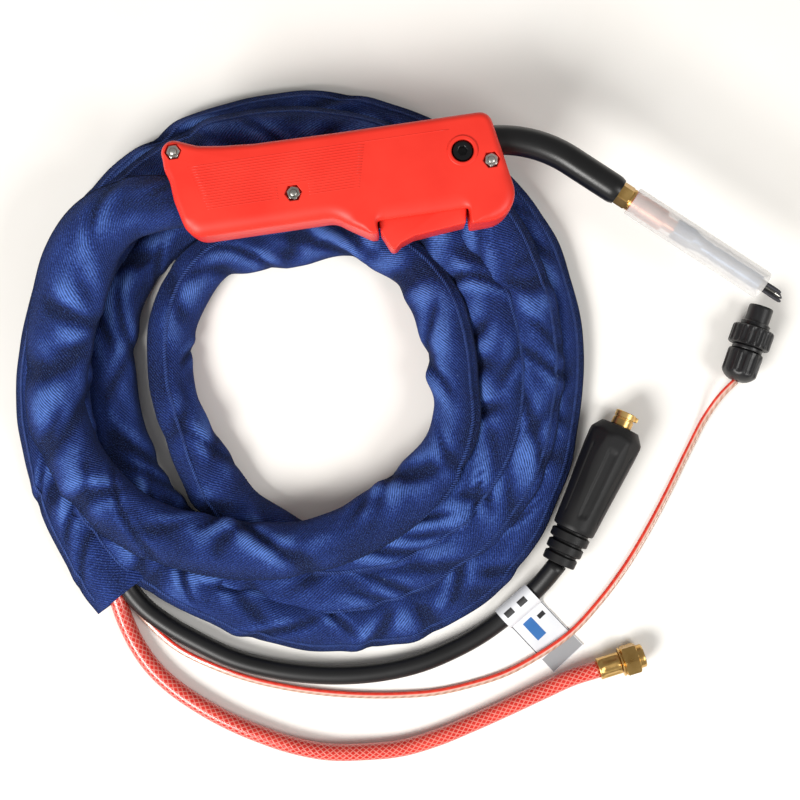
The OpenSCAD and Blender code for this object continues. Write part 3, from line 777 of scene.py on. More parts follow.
def make_sleeve():
    """A soft tube of cloth with its folds, dimples and a pressed lip along the seam side."""
    around = 36
    a = round_angles(around)
    c, s = np.cos(a)[None], np.sin(a)[None]
    run = RUN[:, None]
    crossing = np.exp(-((ROUND[:, None] - CROSSING_AT) / 34) ** 2)
    climb = np.exp(-((ROUND[:, None] - CLIMB_AT) / 26) ** 2)
    wide = HALF_W[:, None] * (1 + 0.09 * noise2(run / 0.055, np.zeros_like(run), 3)
                              + 0.05 * noise2(run / 0.021, np.zeros_like(run), 4))
    thick = (10.2 + 1.2 * noise2(run / 0.05, np.ones_like(run), 5)
             + 4.2 * crossing + 1.0 * climb + 0.12 * (17 * MM - wide) / MM) * MM
    thick = thick * (1 - 0.1 * smooth((0.03 - run) / 0.03))
    across = c * np.ones_like(run)
    up_side = np.clip(s, 0, 1) ** 0.4
    height = thick * s * np.abs(s) ** 0.05 * np.where(s < 0, 0.84, 1)
    fold, edge = folds(run * np.ones_like(c), across)
    soft = (noise2(run / 0.030 + across * 0.8, across * 1.4 + 7, 11) * 1.3
            + noise2(run / 0.014 - across * 0.9, across * 2.2 + 3, 12) * 0.8
            + noise2(run / 0.007 + across * 0.7, across * 4.0 + 5, 13) * 0.3) * MM
    ease = smooth((run - 0.01) / 0.04) * smooth((RUN[-1] - run - 0.004) / 0.03)
    height = height + up_side * ease * (fold + soft)
    lip = np.exp(-((a - PI) / 0.30) ** 2)[None]
    x = wide * across - lip * 2.6 * MM + ease * edge * np.abs(c) ** 2
    height = height * (1 - 0.8 * lip) + 0.4 * MM * lip
    height = clear_of_cords(x, height, s)
    points = (SLEEVE[:, None] + x[..., None] * SLEEVE_SIDE[:, None]
              + height[..., None] * SLEEVE_RISE[:, None])
    points[..., 2] = np.maximum(points[..., 2], 0.6 * MM)
    # Painted shading for the denim: lighter on fold ridges and bumps (painted highlight), darker in creases, and
    # darker towards the tube's edges and underside, where the rows shade each other (painted shade).
    painted_shading_level = 0.40 + (fold + 0.7 * soft) / (3.2 * MM)
    painted_shading_level = np.clip(painted_shading_level, 0, 1.2) * (0.05 + 0.95 * np.clip(s, 0, 1) ** 0.8)
    tube = grid(points, (False, False), cloth_map(RUN, around, SLEEVE_ROUND))
    tube.attributes.new("painted_shading", "FLOAT", "POINT").data.foreach_set("value", painted_shading_level.ravel())
    tube = with_modifier(tube, "SOLIDIFY", thickness=CLOTH, offset=-1)
    sleeve = add_object("sleeve", tube, DENIM)
    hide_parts("sleeve_coil", "sleeve_lead")
    seam = make_seam(points, a)


def clear_of_cords(x, height, s):
    """Keeps the cloth off the cords inside it. The twin lead counts with its stated diameter."""
    for table, d in ((POWER_LANE, POWER_D), (GAS_LANE, GAS_D), (CONTROL_LANE, CONTROL_D)):
        inward, up = lane(table)
        r = d / 2 + CORD_GAP
        arch = np.sqrt(np.maximum(r * r - (x - inward[:, None]) ** 2, 0))
        over = np.abs(x - inward[:, None]) < r
        height = np.where(over & (s > 0), np.maximum(height, up[:, None] + arch), height)
        height = np.where(over & (s < 0), np.minimum(height, up[:, None] - arch), height)
    return height


def make_seam(points, a):
    """Overlocked stitches that lie slanted along the seam, a stitch step apart. The seam's angle
    round the tube changes with the degrees round the coil."""
    seam_at = np.interp(ROUND, [170, 240, 300, 330, 420, 450, 560, 620, 700, 2000],
                        [205, 205, 190, 152, 148, 130, 126, 150, 152, 150])
    k = np.radians(seam_at) / (2 * PI) * len(a)
    low = np.floor(k).astype(int) % len(a)
    part = (k - np.floor(k))[:, None]
    i = np.arange(len(k))
    line = points[i, low] * (1 - part) + points[i, (low + 1) % len(a)] * part
    outer = points[i, (low + 2) % len(a)] - points[i, low - 1]
    line = line[2:-2]
    run = run_of(line)
    stops = np.arange(0.002, run[-1] - 0.002, STITCH_STEP)
    center = np.column_stack([np.interp(stops, run, line[:, q]) for q in range(3)])
    across = unit(np.column_stack([np.interp(stops, run, outer[2:-2, q]) for q in range(3)]))
    along = unit(np.gradient(center, axis=0))
    normal = unit(np.cross(across, along))
    normal *= np.sign(normal[:, 2:3])
    long = unit(0.62 * along + 0.78 * across)
    short = np.cross(normal, long)
    verts, faces = [], []
    ball = [(math.cos(p) * math.cos(q), math.cos(p) * math.sin(q), math.sin(p))
            for p in (-0.9, 0, 0.9) for q in round_angles(8)]
    ball = np.array(ball + [(0, 0, -1), (0, 0, 1)])
    quads = [[r * 8 + q, r * 8 + (q + 1) % 8, (r + 1) * 8 + (q + 1) % 8, (r + 1) * 8 + q]
             for r in (0, 1) for q in range(8)]
    fans = [[24, (q + 1) % 8, q] for q in range(8)]
    fans += [[25, 16 + q, 16 + (q + 1) % 8] for q in range(8)]
    size = np.array([1.7, 0.55, 0.5]) * MM
    for n, c in enumerate(center):
        axes = np.stack([long[n], short[n], normal[n]])
        verts.append(c + normal[n] * 0.25 * MM + (ball * size) @ axes)
        faces += [[q + n * 26 for q in f] for f in quads + fans]
    mesh = mesh_of(np.concatenate(verts), faces)
    thread = plain("seam_thread", rgb(30, 50, 108), rgb(50, 78, 146), (0.8, 0.95), grain=1200,
                   bump=0.5, patch=300, depth=0.0003)
    return add_object("sleeve_seam", mesh, thread)


# ------------------------------------------------------------------ handle

def arc(cx, cy, r, a0, a1, n=6):
    """Points on an arc between two angles in degrees."""
    t = np.radians(np.linspace(a0, a1, n + 1))
    return [(cx + r * math.cos(x), cy + r * math.sin(x)) for x in t]


def handle_outline():
    """Side view of the handle, counterclockwise, in metres, with points about a millimetre apart."""
    back, belly, nose = 22.4, -25.6, -40.5
    points = arc(-90, 24, 7.5, 200, 75, 8)
    points += [(-76, 26.3), (-62, 24.4), (-44, back + 0.6), (5, back)]
    points += arc(84, back - 7.5, 7.5, 90, 15) + arc(82, nose + 16.5, 16.5, 12, -90, 8)
    points += [(71, nose), (71, -31), (18.5, -31), (18.5, -38.2)]
    points += arc(15, -35, 3.2, 270, 225, 3) + arc(-9, -37.6, 12, 45, 90, 4)
    points += [(-48, belly)] + arc(-80, belly + 11, 11, 270, 190)
    points += [(-94, -3), (-94.8, 8), (-97, 15)]
    p = np.array(points[::-1] + [points[-1]]) * MM
    run = run_of(p)
    stops = np.linspace(0, run[-1], int(run[-1] / (0.9 * MM)), endpoint=False)
    p = np.column_stack([np.interp(stops, run, p[:, k]) for k in (0, 1)])
    return softened(p, 3)


def softened(p, times):
    """A closed outline with its corners rounded off a little more each time."""
    for _ in range(times):
        p = 0.5 * p + 0.25 * (np.roll(p, 1, 0) + np.roll(p, -1, 0))
    return p


def inset(outline, amount):
    """The outline moved inwards, in small steps so that its corners stay clean."""
    p = outline
    amount = np.broadcast_to(amount, (len(p),))
    steps = max(1, int(math.ceil(np.max(np.abs(amount)) / (0.4 * MM))))
    for _ in range(steps):
        d = np.roll(p, -1, 0) - np.roll(p, 1, 0)
        n = unit(np.column_stack([-d[:, 1], d[:, 0]]) + 1e-12)
        p = p + n * (amount / steps)[:, None]
        if np.max(np.abs(amount)) > 0.5 * MM:
            p = 0.8 * p + 0.1 * (np.roll(p, 1, 0) + np.roll(p, -1, 0))
    return p


def loop_smooth(values, window):
    kernel = np.hanning(window + 2)[1:-1]
    kernel /= kernel.sum()
    padded = np.concatenate([values[-window:], values, values[:window]])
    return np.convolve(padded, kernel, "same")[window:-window]


def edge_reach(outline):
    """How far the rounded edge of the shell reaches inwards, and how far it drops, at each point."""
    x, y = outline[:, 0] / MM, outline[:, 1] / MM
    reach = np.full(len(x), 4.2)
    drop = np.full(len(x), 4.4)
    reach[(y < -18) & (x < 2)] = 8.5
    drop[(y < -18) & (x < 2)] = 6.0
    bay = (np.abs(y + 31) < 1.6) & (x > 21) & (x < 69)
    reach[bay] = 9.5
    drop[bay] = 3.0
    walls = (y < -31.8) & (x > 11) & (x < 76)
    reach[walls] = 1.0
    drop[walls] = 1.8
    reach[(x > 84) & (y < -12)] = 6.5
    return loop_smooth(reach, 9) * MM, loop_smooth(drop, 13) * MM


def shell_body(outline, top):
    """One half of the handle before it is cut: parting groove, side, large soft edge and flat face."""
    reach, drop = edge_reach(outline)
    groove = inset(outline, 0.35 * MM)
    rings = [np.column_stack([groove, np.full(len(outline), 0.0)]),
             np.column_stack([outline, np.full(len(outline), 0.4 * MM)])]
    side = inset(outline, 0.25 * MM)
    rings.append(np.column_stack([side, top - drop]))
    current = side
    steps = 9
    for i in range(1, steps + 1):
        f0, f1 = (i - 1) / steps * PI / 2, i / steps * PI / 2
        current = inset(current, reach * (math.cos(f0) - math.cos(f1)))
        rings.append(np.column_stack([current, top - drop * (1 - math.sin(f1))]))
    return grid(np.array(rings))


def hex_pocket(x, y, z0, z1, af, flare=0.5 * MM):
    """A cutter for a hexagon pocket with a softened rim."""
    corner = af / math.sqrt(3)
    clip = hexed(af)

    def shape(a, r, z):
        return clip(a, r, z) + np.where(z > z1 - flare / 2, flare, 0)
    rows = [(corner, z0), (corner, z1 - flare), (corner + flare, z1), (corner + flare, z1 + 2 * MM)]
    return moved(lathe(rows, 48, shape), at(x, y))


def at_screws(make):
    """One mesh at each of the shell screws."""
    return [moved(make(), at(x, y)) for x, y in SHELL_SCREWS]


def clamp_rim():
    """The raised rim round the clamp's socket cap."""
    t = HALF_T / MM
    rows = [(0.1, t - 1), (8.9, t - 1), (8.7, t + 0.5), (8.2, t + 0.9), (6.9, t + 0.9), (6.4, t + 0.4),
            (6.35, t - 0.9), (0.1, t - 0.9)]
    return moved(turned(rows, 48), at(*CLAMP))


def shell_cavity(outline):
    """The hollow of a half shell, with the posts round the screws left standing."""
    line = inset(softened(outline, 14), np.minimum(WALL, edge_reach(outline)[0] + 0.7 * MM))
    posts = at_screws(lambda: rod(5.6 * MM, -3 * MM, HALF_T))
    posts.append(moved(rod(8.6 * MM, 9 * MM, HALF_T), at(*CLAMP)))
    return carve(prism(line, -1 * MM, HALF_T - WALL), posts)


def shell_cuts(outline, flip):
    """What is taken out of a half shell: hollow, trigger bay, cable opening, neck and screw holes."""
    cuts = [shell_cavity(outline), box_mesh(BAY_X, (-0.046, -0.0186), (-1 * MM, BAY_HALF)),
            box_mesh((-0.101, -0.088), (-0.019, 0.015), (-1 * MM, 12.5 * MM))]
    cuts += at_screws(lambda: rod(2.15 * MM, -2 * MM, HALF_T + 4 * MM))
    neck = rod(NECK_R + 0.1 * MM, -14.2 * MM, 10 * MM, 48)
    cuts.append(moved(neck, at(*NECK_EXIT), turn(-NECK_A0, "Z"), turn(PI / 2, "Y")))
    if flip > 0:
        cuts += [hex_pocket(x, y, SCREW_FLOOR, HALF_T, 8.6 * MM) for x, y in SHELL_SCREWS]
        return cuts + [moved(rod(6.35 * MM, 8 * MM, HALF_T + 3 * MM, 48), at(*CLAMP))]
    t = HALF_T / MM
    rows = [(3.8, 14.8), (3.8, t - 0.4), (4.3, t + 0.1), (4.3, t + 2)]
    return cuts + at_screws(lambda: turned(rows, 40))


def make_shells():
    outline = handle_outline()
    for name, flip in (("handle_upper", 1), ("handle_lower", -1)):
        body = shell_body(outline, HALF_T)
        if flip > 0:
            body = carve(body, [clamp_rim()], "UNION")
        body = carve(body, shell_cuts(outline, flip))
        if flip < 0:
            body = outward(moved(body, Matrix.Scale(-1, 4, (0, 0, 1))))
        shell = add_object(name, moved(body, HANDLE), RED, sharp=32)
        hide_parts("shell_top" if flip > 0 else "shell_bottom")


def make_ribs():
    """Fine grip ribs along the upper face. The first runs on to the nose, and the lower ones leave a
    gap round the middle screw."""
    parts = []
    for i in range(RIB_COUNT):
        y = (14.2 - RIB_PITCH * i) * MM
        x0, x1 = (-83 + 0.45 * i) * MM, (18 - 0.4 * i) * MM
        if i == 0:
            x1 = 66 * MM
        if y < -4 * MM:
            spans = [(x0, -34.5 * MM), (-17.5 * MM, x1)]
        else:
            spans = [(x0, x1)]
        for a, b in spans:
            n = 24
            xs = np.linspace(a, b, n)
            taper = np.minimum(smooth((xs - a) / (5 * MM)), smooth((b - xs) / (5 * MM)))
            path = np.column_stack([xs, np.full(n, y), HALF_T + (0.12 * taper - 0.36) * MM])
            parts.append(pipe(path, 0.42 * MM, 10))
    add_object("grip_ribs", moved(joined(*parts), HANDLE), RED)


def make_trigger():
    points = [(19.7, -25.5), (19.7, -37)] + arc(26.2, -44.6, 2.8, 200, 320, 8)
    points += [(30.5, -44.6), (38, -41.8), (68.3, -38.8), (69.7, -31.5), (69.7, -27), (60, -24.5)]
    outline = np.array(points) * MM
    half = (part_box("trigger")[1].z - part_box("trigger")[0].z) / 2
    body = rounded(prism(outline, -half, half), 0.9 * MM, 25, 3)
    lug = moved(rod(3.8 * MM, -half + 0.4 * MM, half - 0.4 * MM), at(*TRIGGER_PIN))
    finger = box_mesh((42 * MM, 46 * MM), (-27 * MM, -18.3 * MM), (-2 * MM, 2 * MM))
    body = carve(body, [lug, finger], "UNION")
    pin = moved(rod(1.55 * MM, -20 * MM, 20 * MM), at(*TRIGGER_PIN))
    seat = moved(rod(3.4 * MM, 0, 8 * MM), at(SPRING_X, -0.0294), turn(-PI / 2, "X"))
    body = carve(body, [pin, seat])
    trigger = add_object("trigger_lever", moved(body, HANDLE), RED, "trigger", 32)
    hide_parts("trigger")


def make_spring():
    """Return spring of round wire."""
    low, high = SPRING_Y
    wire, coil, turns = 0.42 * MM, 2.4 * MM, 5
    n = turns * 24
    a = np.arange(n + 1) / 24 * 2 * PI
    y = low + wire + (high - low - 2 * wire) * np.arange(n + 1) / n
    center = np.column_stack([SPRING_X + coil * np.cos(a), y, coil * np.sin(a)])
    out = np.column_stack([np.cos(a), 0 * a, np.sin(a)])
    b = round_angles(10)
    points = center[:, None] + wire * (np.cos(b)[None, :, None] * out[:, None]
                                       + np.sin(b)[None, :, None] * np.array([0, 1, 0]))
    spring = add_object("return_spring", moved(grid(points), HANDLE), ZINC)
    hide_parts("trigger_spring")
    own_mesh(spring)


def make_nuts():
    """Nuts in their pockets with the bright rounded ends of the bolts."""
    nuts, ends = [], []
    for i, (x, y) in enumerate(SHELL_SCREWS):
        rows = [(2.05, 0), (3.4, 0), (4.05, 0.35), (4.05, 2.8), (3.8, 3.0), (3.35, 3.2), (2.3, 3.2),
                (2.05, 2.95)]
        nut = turned(rows, 72, hexed(7 * MM, 0.35 * i), closed=True)
        nuts.append(moved(nut, at(x, y, SCREW_FLOOR)))
        end = turned([(2.0, 14), (2.0, 18.0), (1.8, 18.35), (1.2, 18.6), (0.05, 18.7)], 32)
        ends.append(moved(end, at(x, y)))
    nut = add_object("handle_nuts", moved(joined(*nuts), HANDLE), ZINC, sharp=28)
    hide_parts("shell_nuts")
    add_object("bolt_ends", moved(joined(*ends), HANDLE), ZINC, sharp=30)


def make_clamp_cap():
    """Black socket cap of the neck clamp, with its hexagon socket and a chamfered rim."""
    place = at(*CLAMP, HANDLE_Z)
    top = HALF_T / MM - 0.4
    rows = [(2.9, top - 3.4), (2.9, top - 0.3), (3.25, top), (5.2, top), (5.6, top - 0.4), (5.6, 8.4),
            (0.05, 8.4), (0.05, top - 3.4)]

    def socket(a, r, z):
        inside = (r < 3.0 * MM) & (r > 1 * MM)
        return np.where(inside, hexed(5 * MM)(a, r, z), r)
    cap = add_object("clamp_cap", moved(turned(rows, 72, socket, closed=True), place), BLACK_STEEL,
                     sharp=30)
    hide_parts("clamp_screw")
    add_object("clamp_stem", moved(rod(3 * MM, -7 * MM, 9 * MM), place), BLACK_STEEL,
               sharp=30)


# ------------------------------------------------------------------ neck and head

def neck_points(back, front, step=0.003):
    """The neck's centre line from inside the nose to its end."""
    start = np.array([math.cos(NECK_A0), -math.sin(NECK_A0)])
    side = np.array([-math.sin(NECK_A0), -math.cos(NECK_A0)])
    end = np.array([math.cos(HEAD_A), -math.sin(HEAD_A)])
    bend = NECK_BEND_R * NECK_BEND
    out = []
    for s in np.arange(-back, bend + NECK_END + front + step / 2, step):
        a = min(max(s, 0), bend) / NECK_BEND_R
        p = NECK_EXIT + min(s, 0) * start + NECK_BEND_R * math.sin(a) * start
        p = p + NECK_BEND_R * (1 - math.cos(a)) * side + max(s - bend, 0) * end
        out.append([p[0], p[1], HANDLE_Z])
    return np.array(out)


def head_at():
    """Local Z along the head, from the end of the neck's cover."""
    tip = neck_points(0, 0, NECK_BEND_R * NECK_BEND + NECK_END)[-1]
    return at(*tip) @ turn(-HEAD_A, "Z") @ turn(PI / 2, "Y")


HEAD = head_at()


def make_neck():
    path = neck_points(0.014, 0, 0.0025)
    r = np.full(len(path), NECK_R)
    r[-1] = NECK_R - 0.9 * MM
    r[-2] = NECK_R - 0.15 * MM
    cover = pipe(path, r, 48)
    bore = pipe(neck_points(0.02, 0.01, 0.004), 5 * MM, 32)
    neck = add_object("neck_rubber", carve(cover, [bore]), NECK, sharp=40)
    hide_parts("neck_cover")


def make_collar():
    rows = [(4.95, 0.2), (6.3, 0.2), (6.8, 0.6), (7.05, 1.0), (7.05, 6.8), (6.8, 7.3), (6.4, 7.8),
            (4.95, 7.8)]
    hexagon = turned(rows, 96, hexed(12.2 * MM, PI / 6), closed=True)
    rows = [(4.95, 7.8), (6.2, 7.8), (6.6, 8.1), (6.6, 9.1), (6.3, 9.4), (4.95, 9.4)]
    rim = turned(rows, 64, closed=True)
    collar = add_object("neck_collar", moved(joined(hexagon, rim), HEAD), BRASS, sharp=30)
    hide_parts("collar")


def make_head():
    """The contact body, the stepped chuck and the slotted fingers seen through the guard tube."""
    rows = [(0.05, 9.4), (6.3, 9.4), (6.3, 12), (5.9, 12.5), (5.9, 14.5), (6.3, 15), (6.3, 30.6),
            (5.8, 31.4), (4.0, 31.6), (4.0, 38.4), (0.05, 38.4)]
    body = moved(turned(rows), HEAD)
    contact = add_object("contact_sleeve", body, COPPER, sharp=30)
    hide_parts("contact_body")
    rows = [(0.05, 38.4), (5.6, 38.4), (6.1, 39), (6.1, 50.6), (5.6, 51.4), (5.3, 52), (4.4, 57.4),
            (0.05, 57.4)]
    jaw = moved(turned(rows, 96, hexed(10.8 * MM, PI / 6)), HEAD)
    chuck = add_object("chuck_jaw", jaw, STEEL, sharp=30)
    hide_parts("chuck")
    rows = [(0.05, 57.4), (4.4, 57.4), (4.4, 63), (4.0, 63.4), (4.0, 65.2), (4.4, 65.6), (4.4, 78),
            (4.1, 78.4), (4.1, 80), (4.4, 80.4), (4.4, 96.9), (4.1, 97.4), (3.6, 97.4), (3.6, 87.4),
            (0.05, 87.4)]
    tube = moved(turned(rows), HEAD)
    barrel = add_object("chuck_tube", tube, STEEL, sharp=30)
    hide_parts("chuck_barrel")
    make_fingers()


def make_fingers():
    """Slotted prongs in a ring, of three lengths, each leaning a little."""
    fingers = []
    for i in range(FINGERS):
        end = FINGER_END - 1.4 * (i % 3)
        rows = [(0.05, 87.6), (1.2, 87.6), (1.2, end - 4), (1.05, end - 1.5), (0.7, end - 0.4),
                (0.05, end)]
        a = 2 * PI / FINGERS * i
        place = at(FINGER_RING * math.cos(a), FINGER_RING * math.sin(a))
        lean = turn(0.012, "X") if i % 2 else turn(-0.01, "Y")
        fingers.append(moved(turned(rows, 20), place, lean))
    prongs = add_object("fingers", moved(joined(*fingers), HEAD), GRAPHITE, sharp=35)
    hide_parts("prongs")


def make_guard():
    z0, z1 = GUARD
    rows = [(6.6, z0 + 0.5), (6.9, z0), (8.2, z0), (8.5, z0 + 0.4), (8.5, z1 - 1.6), (8.3, z1 - 0.6),
            (7.9, z1), (7.2, z1), (6.6, z1 - 0.7)]
    tube = turned(rows, 96, closed=True)
    guard = add_object("guard_sleeve", moved(tube, HEAD), MILKY, "guard_tube", 35)
    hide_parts("guard_tube")


# ------------------------------------------------------------------ plugs

def stacked(rows, step=0.0012):
    """A profile of (radius, z) millimetre corners with points along its straight parts."""
    out = []
    for (r0, z0), (r1, z1) in zip(rows, rows[1:]):
        n = max(1, int(math.hypot(r1 - r0, z1 - z0) * MM / step))
        out += [((r0 + (r1 - r0) * k / n) * MM, (z0 + (z1 - z0) * k / n) * MM) for k in range(n)]
    return out + [(rows[-1][0] * MM, rows[-1][1] * MM)]


def make_power_plug():
    """Rubber boot with ribbed neck, octagonal body and three long grooves, and the brass pin."""
    place = lying_at(POWER_ROUTE[-1], POWER_END_A)
    rows = [(6.2, 0.3), (9.9, 0.3), (10.4, 0.8), (10.5, 5.2), (10.0, 5.8), (9.0, 6.3), (9.0, 7.1),
            (10.8, 7.6), (11.3, 8.2), (11.4, 12.6), (10.8, 13.1), (9.6, 13.6), (9.6, 14.4),
            (11.6, 14.9), (12.1, 15.5), (12.2, 19.8), (11.6, 20.4), (10.4, 20.9), (10.4, 21.9),
            (12.6, 22.6), (13.1, 24), (16.7, 80), (16.9, 84), (16.4, 86), (12.4, 91.4), (11.8, 92),
            (7.5, 92), (7.3, 91.4), (7.3, 84), (6.2, 84)]
    eighth = PI / 8

    def octagon(a, r, z):
        flat = smooth((z - 0.030) / 0.035)
        limit = (16 * MM) / np.cos((a + eighth) % (PI / 4) - eighth)
        limit = limit * (12.6 + 3.4 * smooth((z - 0.022) / 0.058)) / 16
        cut = np.where(z > 22.3 * MM, np.minimum(r, limit * flat + r * (1 - flat)), r)
        inside = smooth((z - 0.030) / 0.004) * smooth((0.078 - z) / 0.004) * (r > 8 * MM)
        for middle, width, depth in ((1, 0.16, 1.0), (0.72, 0.035, 0.6), (1.28, 0.035, 0.6)):
            cut = cut - smooth(1.6 - np.abs(a - PI * middle) / width) * depth * MM * inside
        return cut
    body = moved(lathe(stacked(rows), 160, octagon, closed=True), place)
    boot = add_object("plug_cover", body, BOOT, sharp=38)
    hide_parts("plug_boot")
    steps = [(0.05, 83.2), (6.1, 83.2), (6.1, 92.4), (6.5, 92.8), (6.5, 96.6), (6.0, 97.0), (6.0, 97.6),
             (6.5, 98.0), (6.5, 101.0), (6.1, 101.5), (4.4, 101.5), (4.2, 100.6), (0.05, 100.6)]
    pin = lathe(stacked(steps, 0.003), 64)
    lug = box_mesh((-1.5 * MM, 1.5 * MM), (-8.1 * MM, -4.1 * MM), (98 * MM, 101 * MM))
    lug = rounded(lug, 0.35 * MM)
    brass = add_object("plug_contact", moved(joined(pin, lug), place), BRASS, sharp=32)
    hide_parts("plug_pin")
    return [boot, brass]


def make_gas_fitting():
    """Crimped ferrule on the hose, and the hexagon nut with the rings of its thread."""
    place = lying_at(GAS_ROUTE[-1], GAS_END_A)

    def crimped(a, r, z):
        inside = smooth((z - 0.0012) / 0.001) * smooth((0.0125 - z) / 0.001) * (r > 5.6 * MM)
        return r - inside * 0.55 * MM * (0.5 + 0.5 * np.cos(8 * a))
    rows = [(5.3, -0.4), (6.5, -0.4), (6.8, 0.1), (6.7, 1.2), (6.7, 12.6), (6.6, 13.2), (6.2, 13.5),
            (4.6, 13.5), (4.5, 16.2), (5.1, 16.3), (3.0, 19.3), (2.0, 19.3), (2.0, 14), (2.0, 2),
            (3.4, 1.2), (3.4, -0.4)]
    body = moved(lathe(stacked(rows), 96, crimped, closed=True), place)
    ferrule = add_object("hose_end", body, BRASS, sharp=32)
    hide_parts("hose_ferrule", "hose_nipple")
    rows = [(4.58, 13.8), (8.6, 13.8), (8.9, 14.1), (8.9, 14.7), (8.6, 15.0), (8.2, 15.2),
            (9.3, 15.9), (9.9, 16.4), (9.9, 23.8), (9.3, 24.5), (8.3, 25.0), (7.2, 25.1), (7.2, 28.0),
            (6.8, 28.7), (6.0, 28.7), (5.6, 28.2)]
    for k in range(9):
        rows += [(5.5, 27.85 - k), (5.9, 27.35 - k)]
    rows += [(5.9, 16.0), (4.58, 15.6)]
    clip = hexed(17 * MM)

    def flats(a, r, z):
        return np.where((r > 7.4 * MM) & (z > 15.05 * MM) & (z < 25.05 * MM), clip(a, r, z), r)
    body = moved(lathe(stacked(rows, 0.0007), 120, flats, closed=True), place)
    nut = add_object("hose_nut", body, BRASS, "gas_nut", 30)
    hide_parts("gas_nut")
    return [ferrule, nut]


def ribbed(count, depth, r_min, z0, z1):
    """Raised lengthwise ribs on a turned body between two heights."""
    def shape(a, r, z):
        wave = smooth(0.5 + 1.6 * np.cos(count * a))
        inside = smooth((z - z0) / 0.0006) * smooth((z1 - z) / 0.0006) * (r > r_min)
        return r - depth * (1 - wave) * inside
    return shape


def make_control_plug():
    """Ribbed rear nut, plain nose and the ribbed coupling ring that turns on it."""
    place = lying_at(CONTROL_ROUTE[-1], CONTROL_END_A)
    rows = [(1.9, 0), (4.6, 0), (6.6, 0.8), (8.6, 2.2), (10.2, 4.0), (10.9, 5.2), (11.0, 17.2),
            (10.7, 18.4), (10.1, 19.0), (7.1, 19.0), (7.1, 5.0), (1.9, 4.6)]
    back = lathe(stacked(rows), 144, ribbed(12, 0.7 * MM, 10 * MM, 0.0048, 0.0176), closed=True)
    nut = add_object("plug_back_nut", moved(back, place), BLACK, sharp=35)
    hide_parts("control_rear_nut")
    rows = [(5.0, 5.2), (6.9, 5.2), (6.9, 19.4), (9.2, 19.5), (9.4, 19.8), (9.4, 21.5), (9.1, 21.9),
            (7.4, 21.9), (7.4, 34.5), (8.7, 34.6), (9.0, 35.0), (9.0, 37.0), (8.6, 37.4), (7.5, 37.5),
            (7.5, 47.3), (7.1, 48.0), (6.0, 48.0), (5.8, 47.6), (5.8, 40.0), (5.8, 30), (5.0, 30)]
    body = moved(lathe(stacked(rows), 96, closed=True), place)
    shell = add_object("plug_body", body, BLACK, sharp=35)
    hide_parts("control_shell")
    rows = [(7.55, 22.2), (12.0, 22.2), (12.7, 22.7), (12.9, 23.4), (12.9, 32.6), (12.6, 33.5),
            (12.0, 34.1), (7.55, 34.1)]
    grip = lathe(stacked(rows), 144, ribbed(18, 0.8 * MM, 11.6 * MM, 0.0230, 0.0332), closed=True)
    ring = add_object("plug_ring", moved(grip, place), BLACK, "control_ring", 35)
    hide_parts("control_ring")
    return [nut, shell, ring]


# How much the cable rises per length under the flag's loop
LABEL_CLIMB = 0.19


def label_sheet(line, t0, t1, c0, c1, lift, thick):
    """A thin patch of the flag's surface: t along the line, c across it, lift off the paper."""
    run = run_of(line)
    t = np.linspace(t0, t1, max(2, round((t1 - t0) / (1.2 * MM)) + 1))
    c = np.linspace(c0, c1, max(2, round((c1 - c0) / (2 * MM)) + 1))
    x = np.interp(t, run, line[:, 0])
    z = np.interp(t, run, line[:, 2])
    tangent = unit(np.column_stack([np.interp(t, run, np.gradient(line[:, k])) for k in (0, 2)]))
    x = x - tangent[:, 1] * lift
    z = z + tangent[:, 0] * lift
    rise = LABEL_CLIMB * smooth((10 * MM - x) / (4 * MM))
    points = np.stack([np.repeat(x[:, None], len(c), 1), np.repeat(c[None], len(t), 0),
                       z[:, None] + rise[:, None] * c[None]], -1)
    n, m = points.shape[:2]
    faces = [[i * m + k, (i + 1) * m + k, (i + 1) * m + k + 1, i * m + k + 1]
             for i in range(n - 1) for k in range(m - 1)]
    sheet = mesh_of(points.reshape(-1, 3), faces)
    return with_modifier(sheet, "SOLIDIFY", thickness=thick, offset=0)


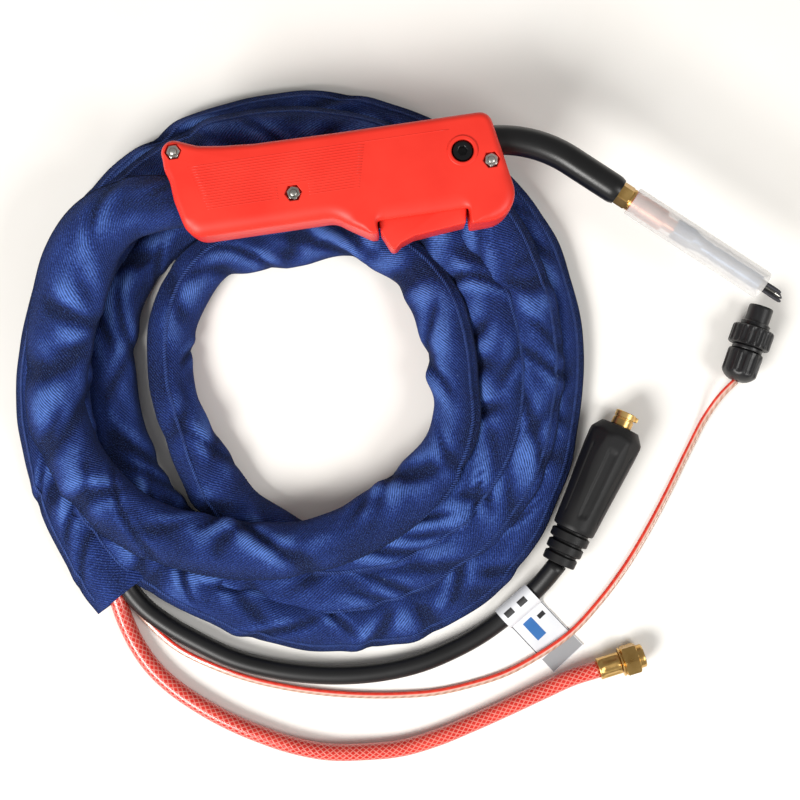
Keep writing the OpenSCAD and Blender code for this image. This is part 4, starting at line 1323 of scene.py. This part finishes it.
def make_label():
    """A paper flag round the power cable: blank bars stand for its text, plain blocks for its marks."""
    place = at(0.0705, -0.2695) @ turn(math.radians(-55), "Z")
    half = 12.5 * MM
    loop = [(-6.5, 5.0), (-7.1, 8.0), (-6.0, 12.0), (-3.1, 14.7), (0.3, 15.5), (3.7, 14.6),
            (6.2, 12.1), (7.2, 8.6), (7.3, 5.0), (7.9, 2.7), (9.3, 1.3), (12, 0.8), (20, 0.9),
            (28, 0.8), (36, 0.9), (47, 1.1)]
    line = spline(np.array([[x * MM, 0, z * MM] for x, z in loop]), 0.0012)[0]
    end = line_length(line)
    paper = label_sheet(line, 0, end, -half, half, 0, 0.2 * MM)
    label = add_object("cable_flag", moved(outward(paper), place), PAPER, sharp=50)
    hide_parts("cable_label")
    out = 0.17 * MM

    def patches(name, material, boxes):
        parts = [label_sheet(line, t0 * MM, t1 * MM, c0 * MM, c1 * MM, out, 0.06 * MM)
                 for t0, t1, c0, c1 in boxes]
        add_object(name, moved(joined(*parts), place), material, sharp=50)
    tail = end / MM
    patches("flag_ink", BLACK, [(11, 15, -9.5, -3.5), (11, 15, 1, 7), (38, 41, 4, 9),
                                (24, tail - 13, -12.2, -11.8), (24, tail - 13, 11.8, 12.2)])
    patches("flag_block", BLUE_INK, [(36, 50, -6, 1)])
    patches("flag_end", GREY_INK, [(tail - 11, tail - 0.6, -12.2, 12.2)])
    return label


# ------------------------------------------------------------------ carried-over CAD pieces

# CAD nodes that stay as they are, and the material each is given
CAD_FINISH = {
    "shell_screws": ZINC, "trigger_pin": ZINC, "switch_screws": ZINC, "cable_clamp": ZINC,
    "cable_clamp_screws": ZINC, "clamp_block": GRAPHITE, "switch_body": BLACK, "switch_plunger": WHITE,
    "switch_terminals": BRASS, "neck_fitting": BRASS, "neck_tube": BRASS, "electrode": ZINC,
    "plug_core": BRASS, "plug_grub_screw": BLACK_STEEL, "control_insert": GRAPHITE,
    "control_contacts": BRASS,
}


def finish_cad():
    for name, material in CAD_FINISH.items():
        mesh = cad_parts[name].data
        mesh.materials.clear()
        mesh.materials.append(material)


make_camera()
make_stage()
(cable, cable_line), (hose, hose_line), (wire, wire_line) = make_cords()
make_sleeve()
make_shells()
make_ribs()
make_trigger()
make_spring()
make_nuts()
make_clamp_cap()
make_neck()
make_collar()
make_head()
make_guard()
plug = make_power_plug()
fitting = make_gas_fitting()
signal = make_control_plug()
label = make_label()
finish_cad()
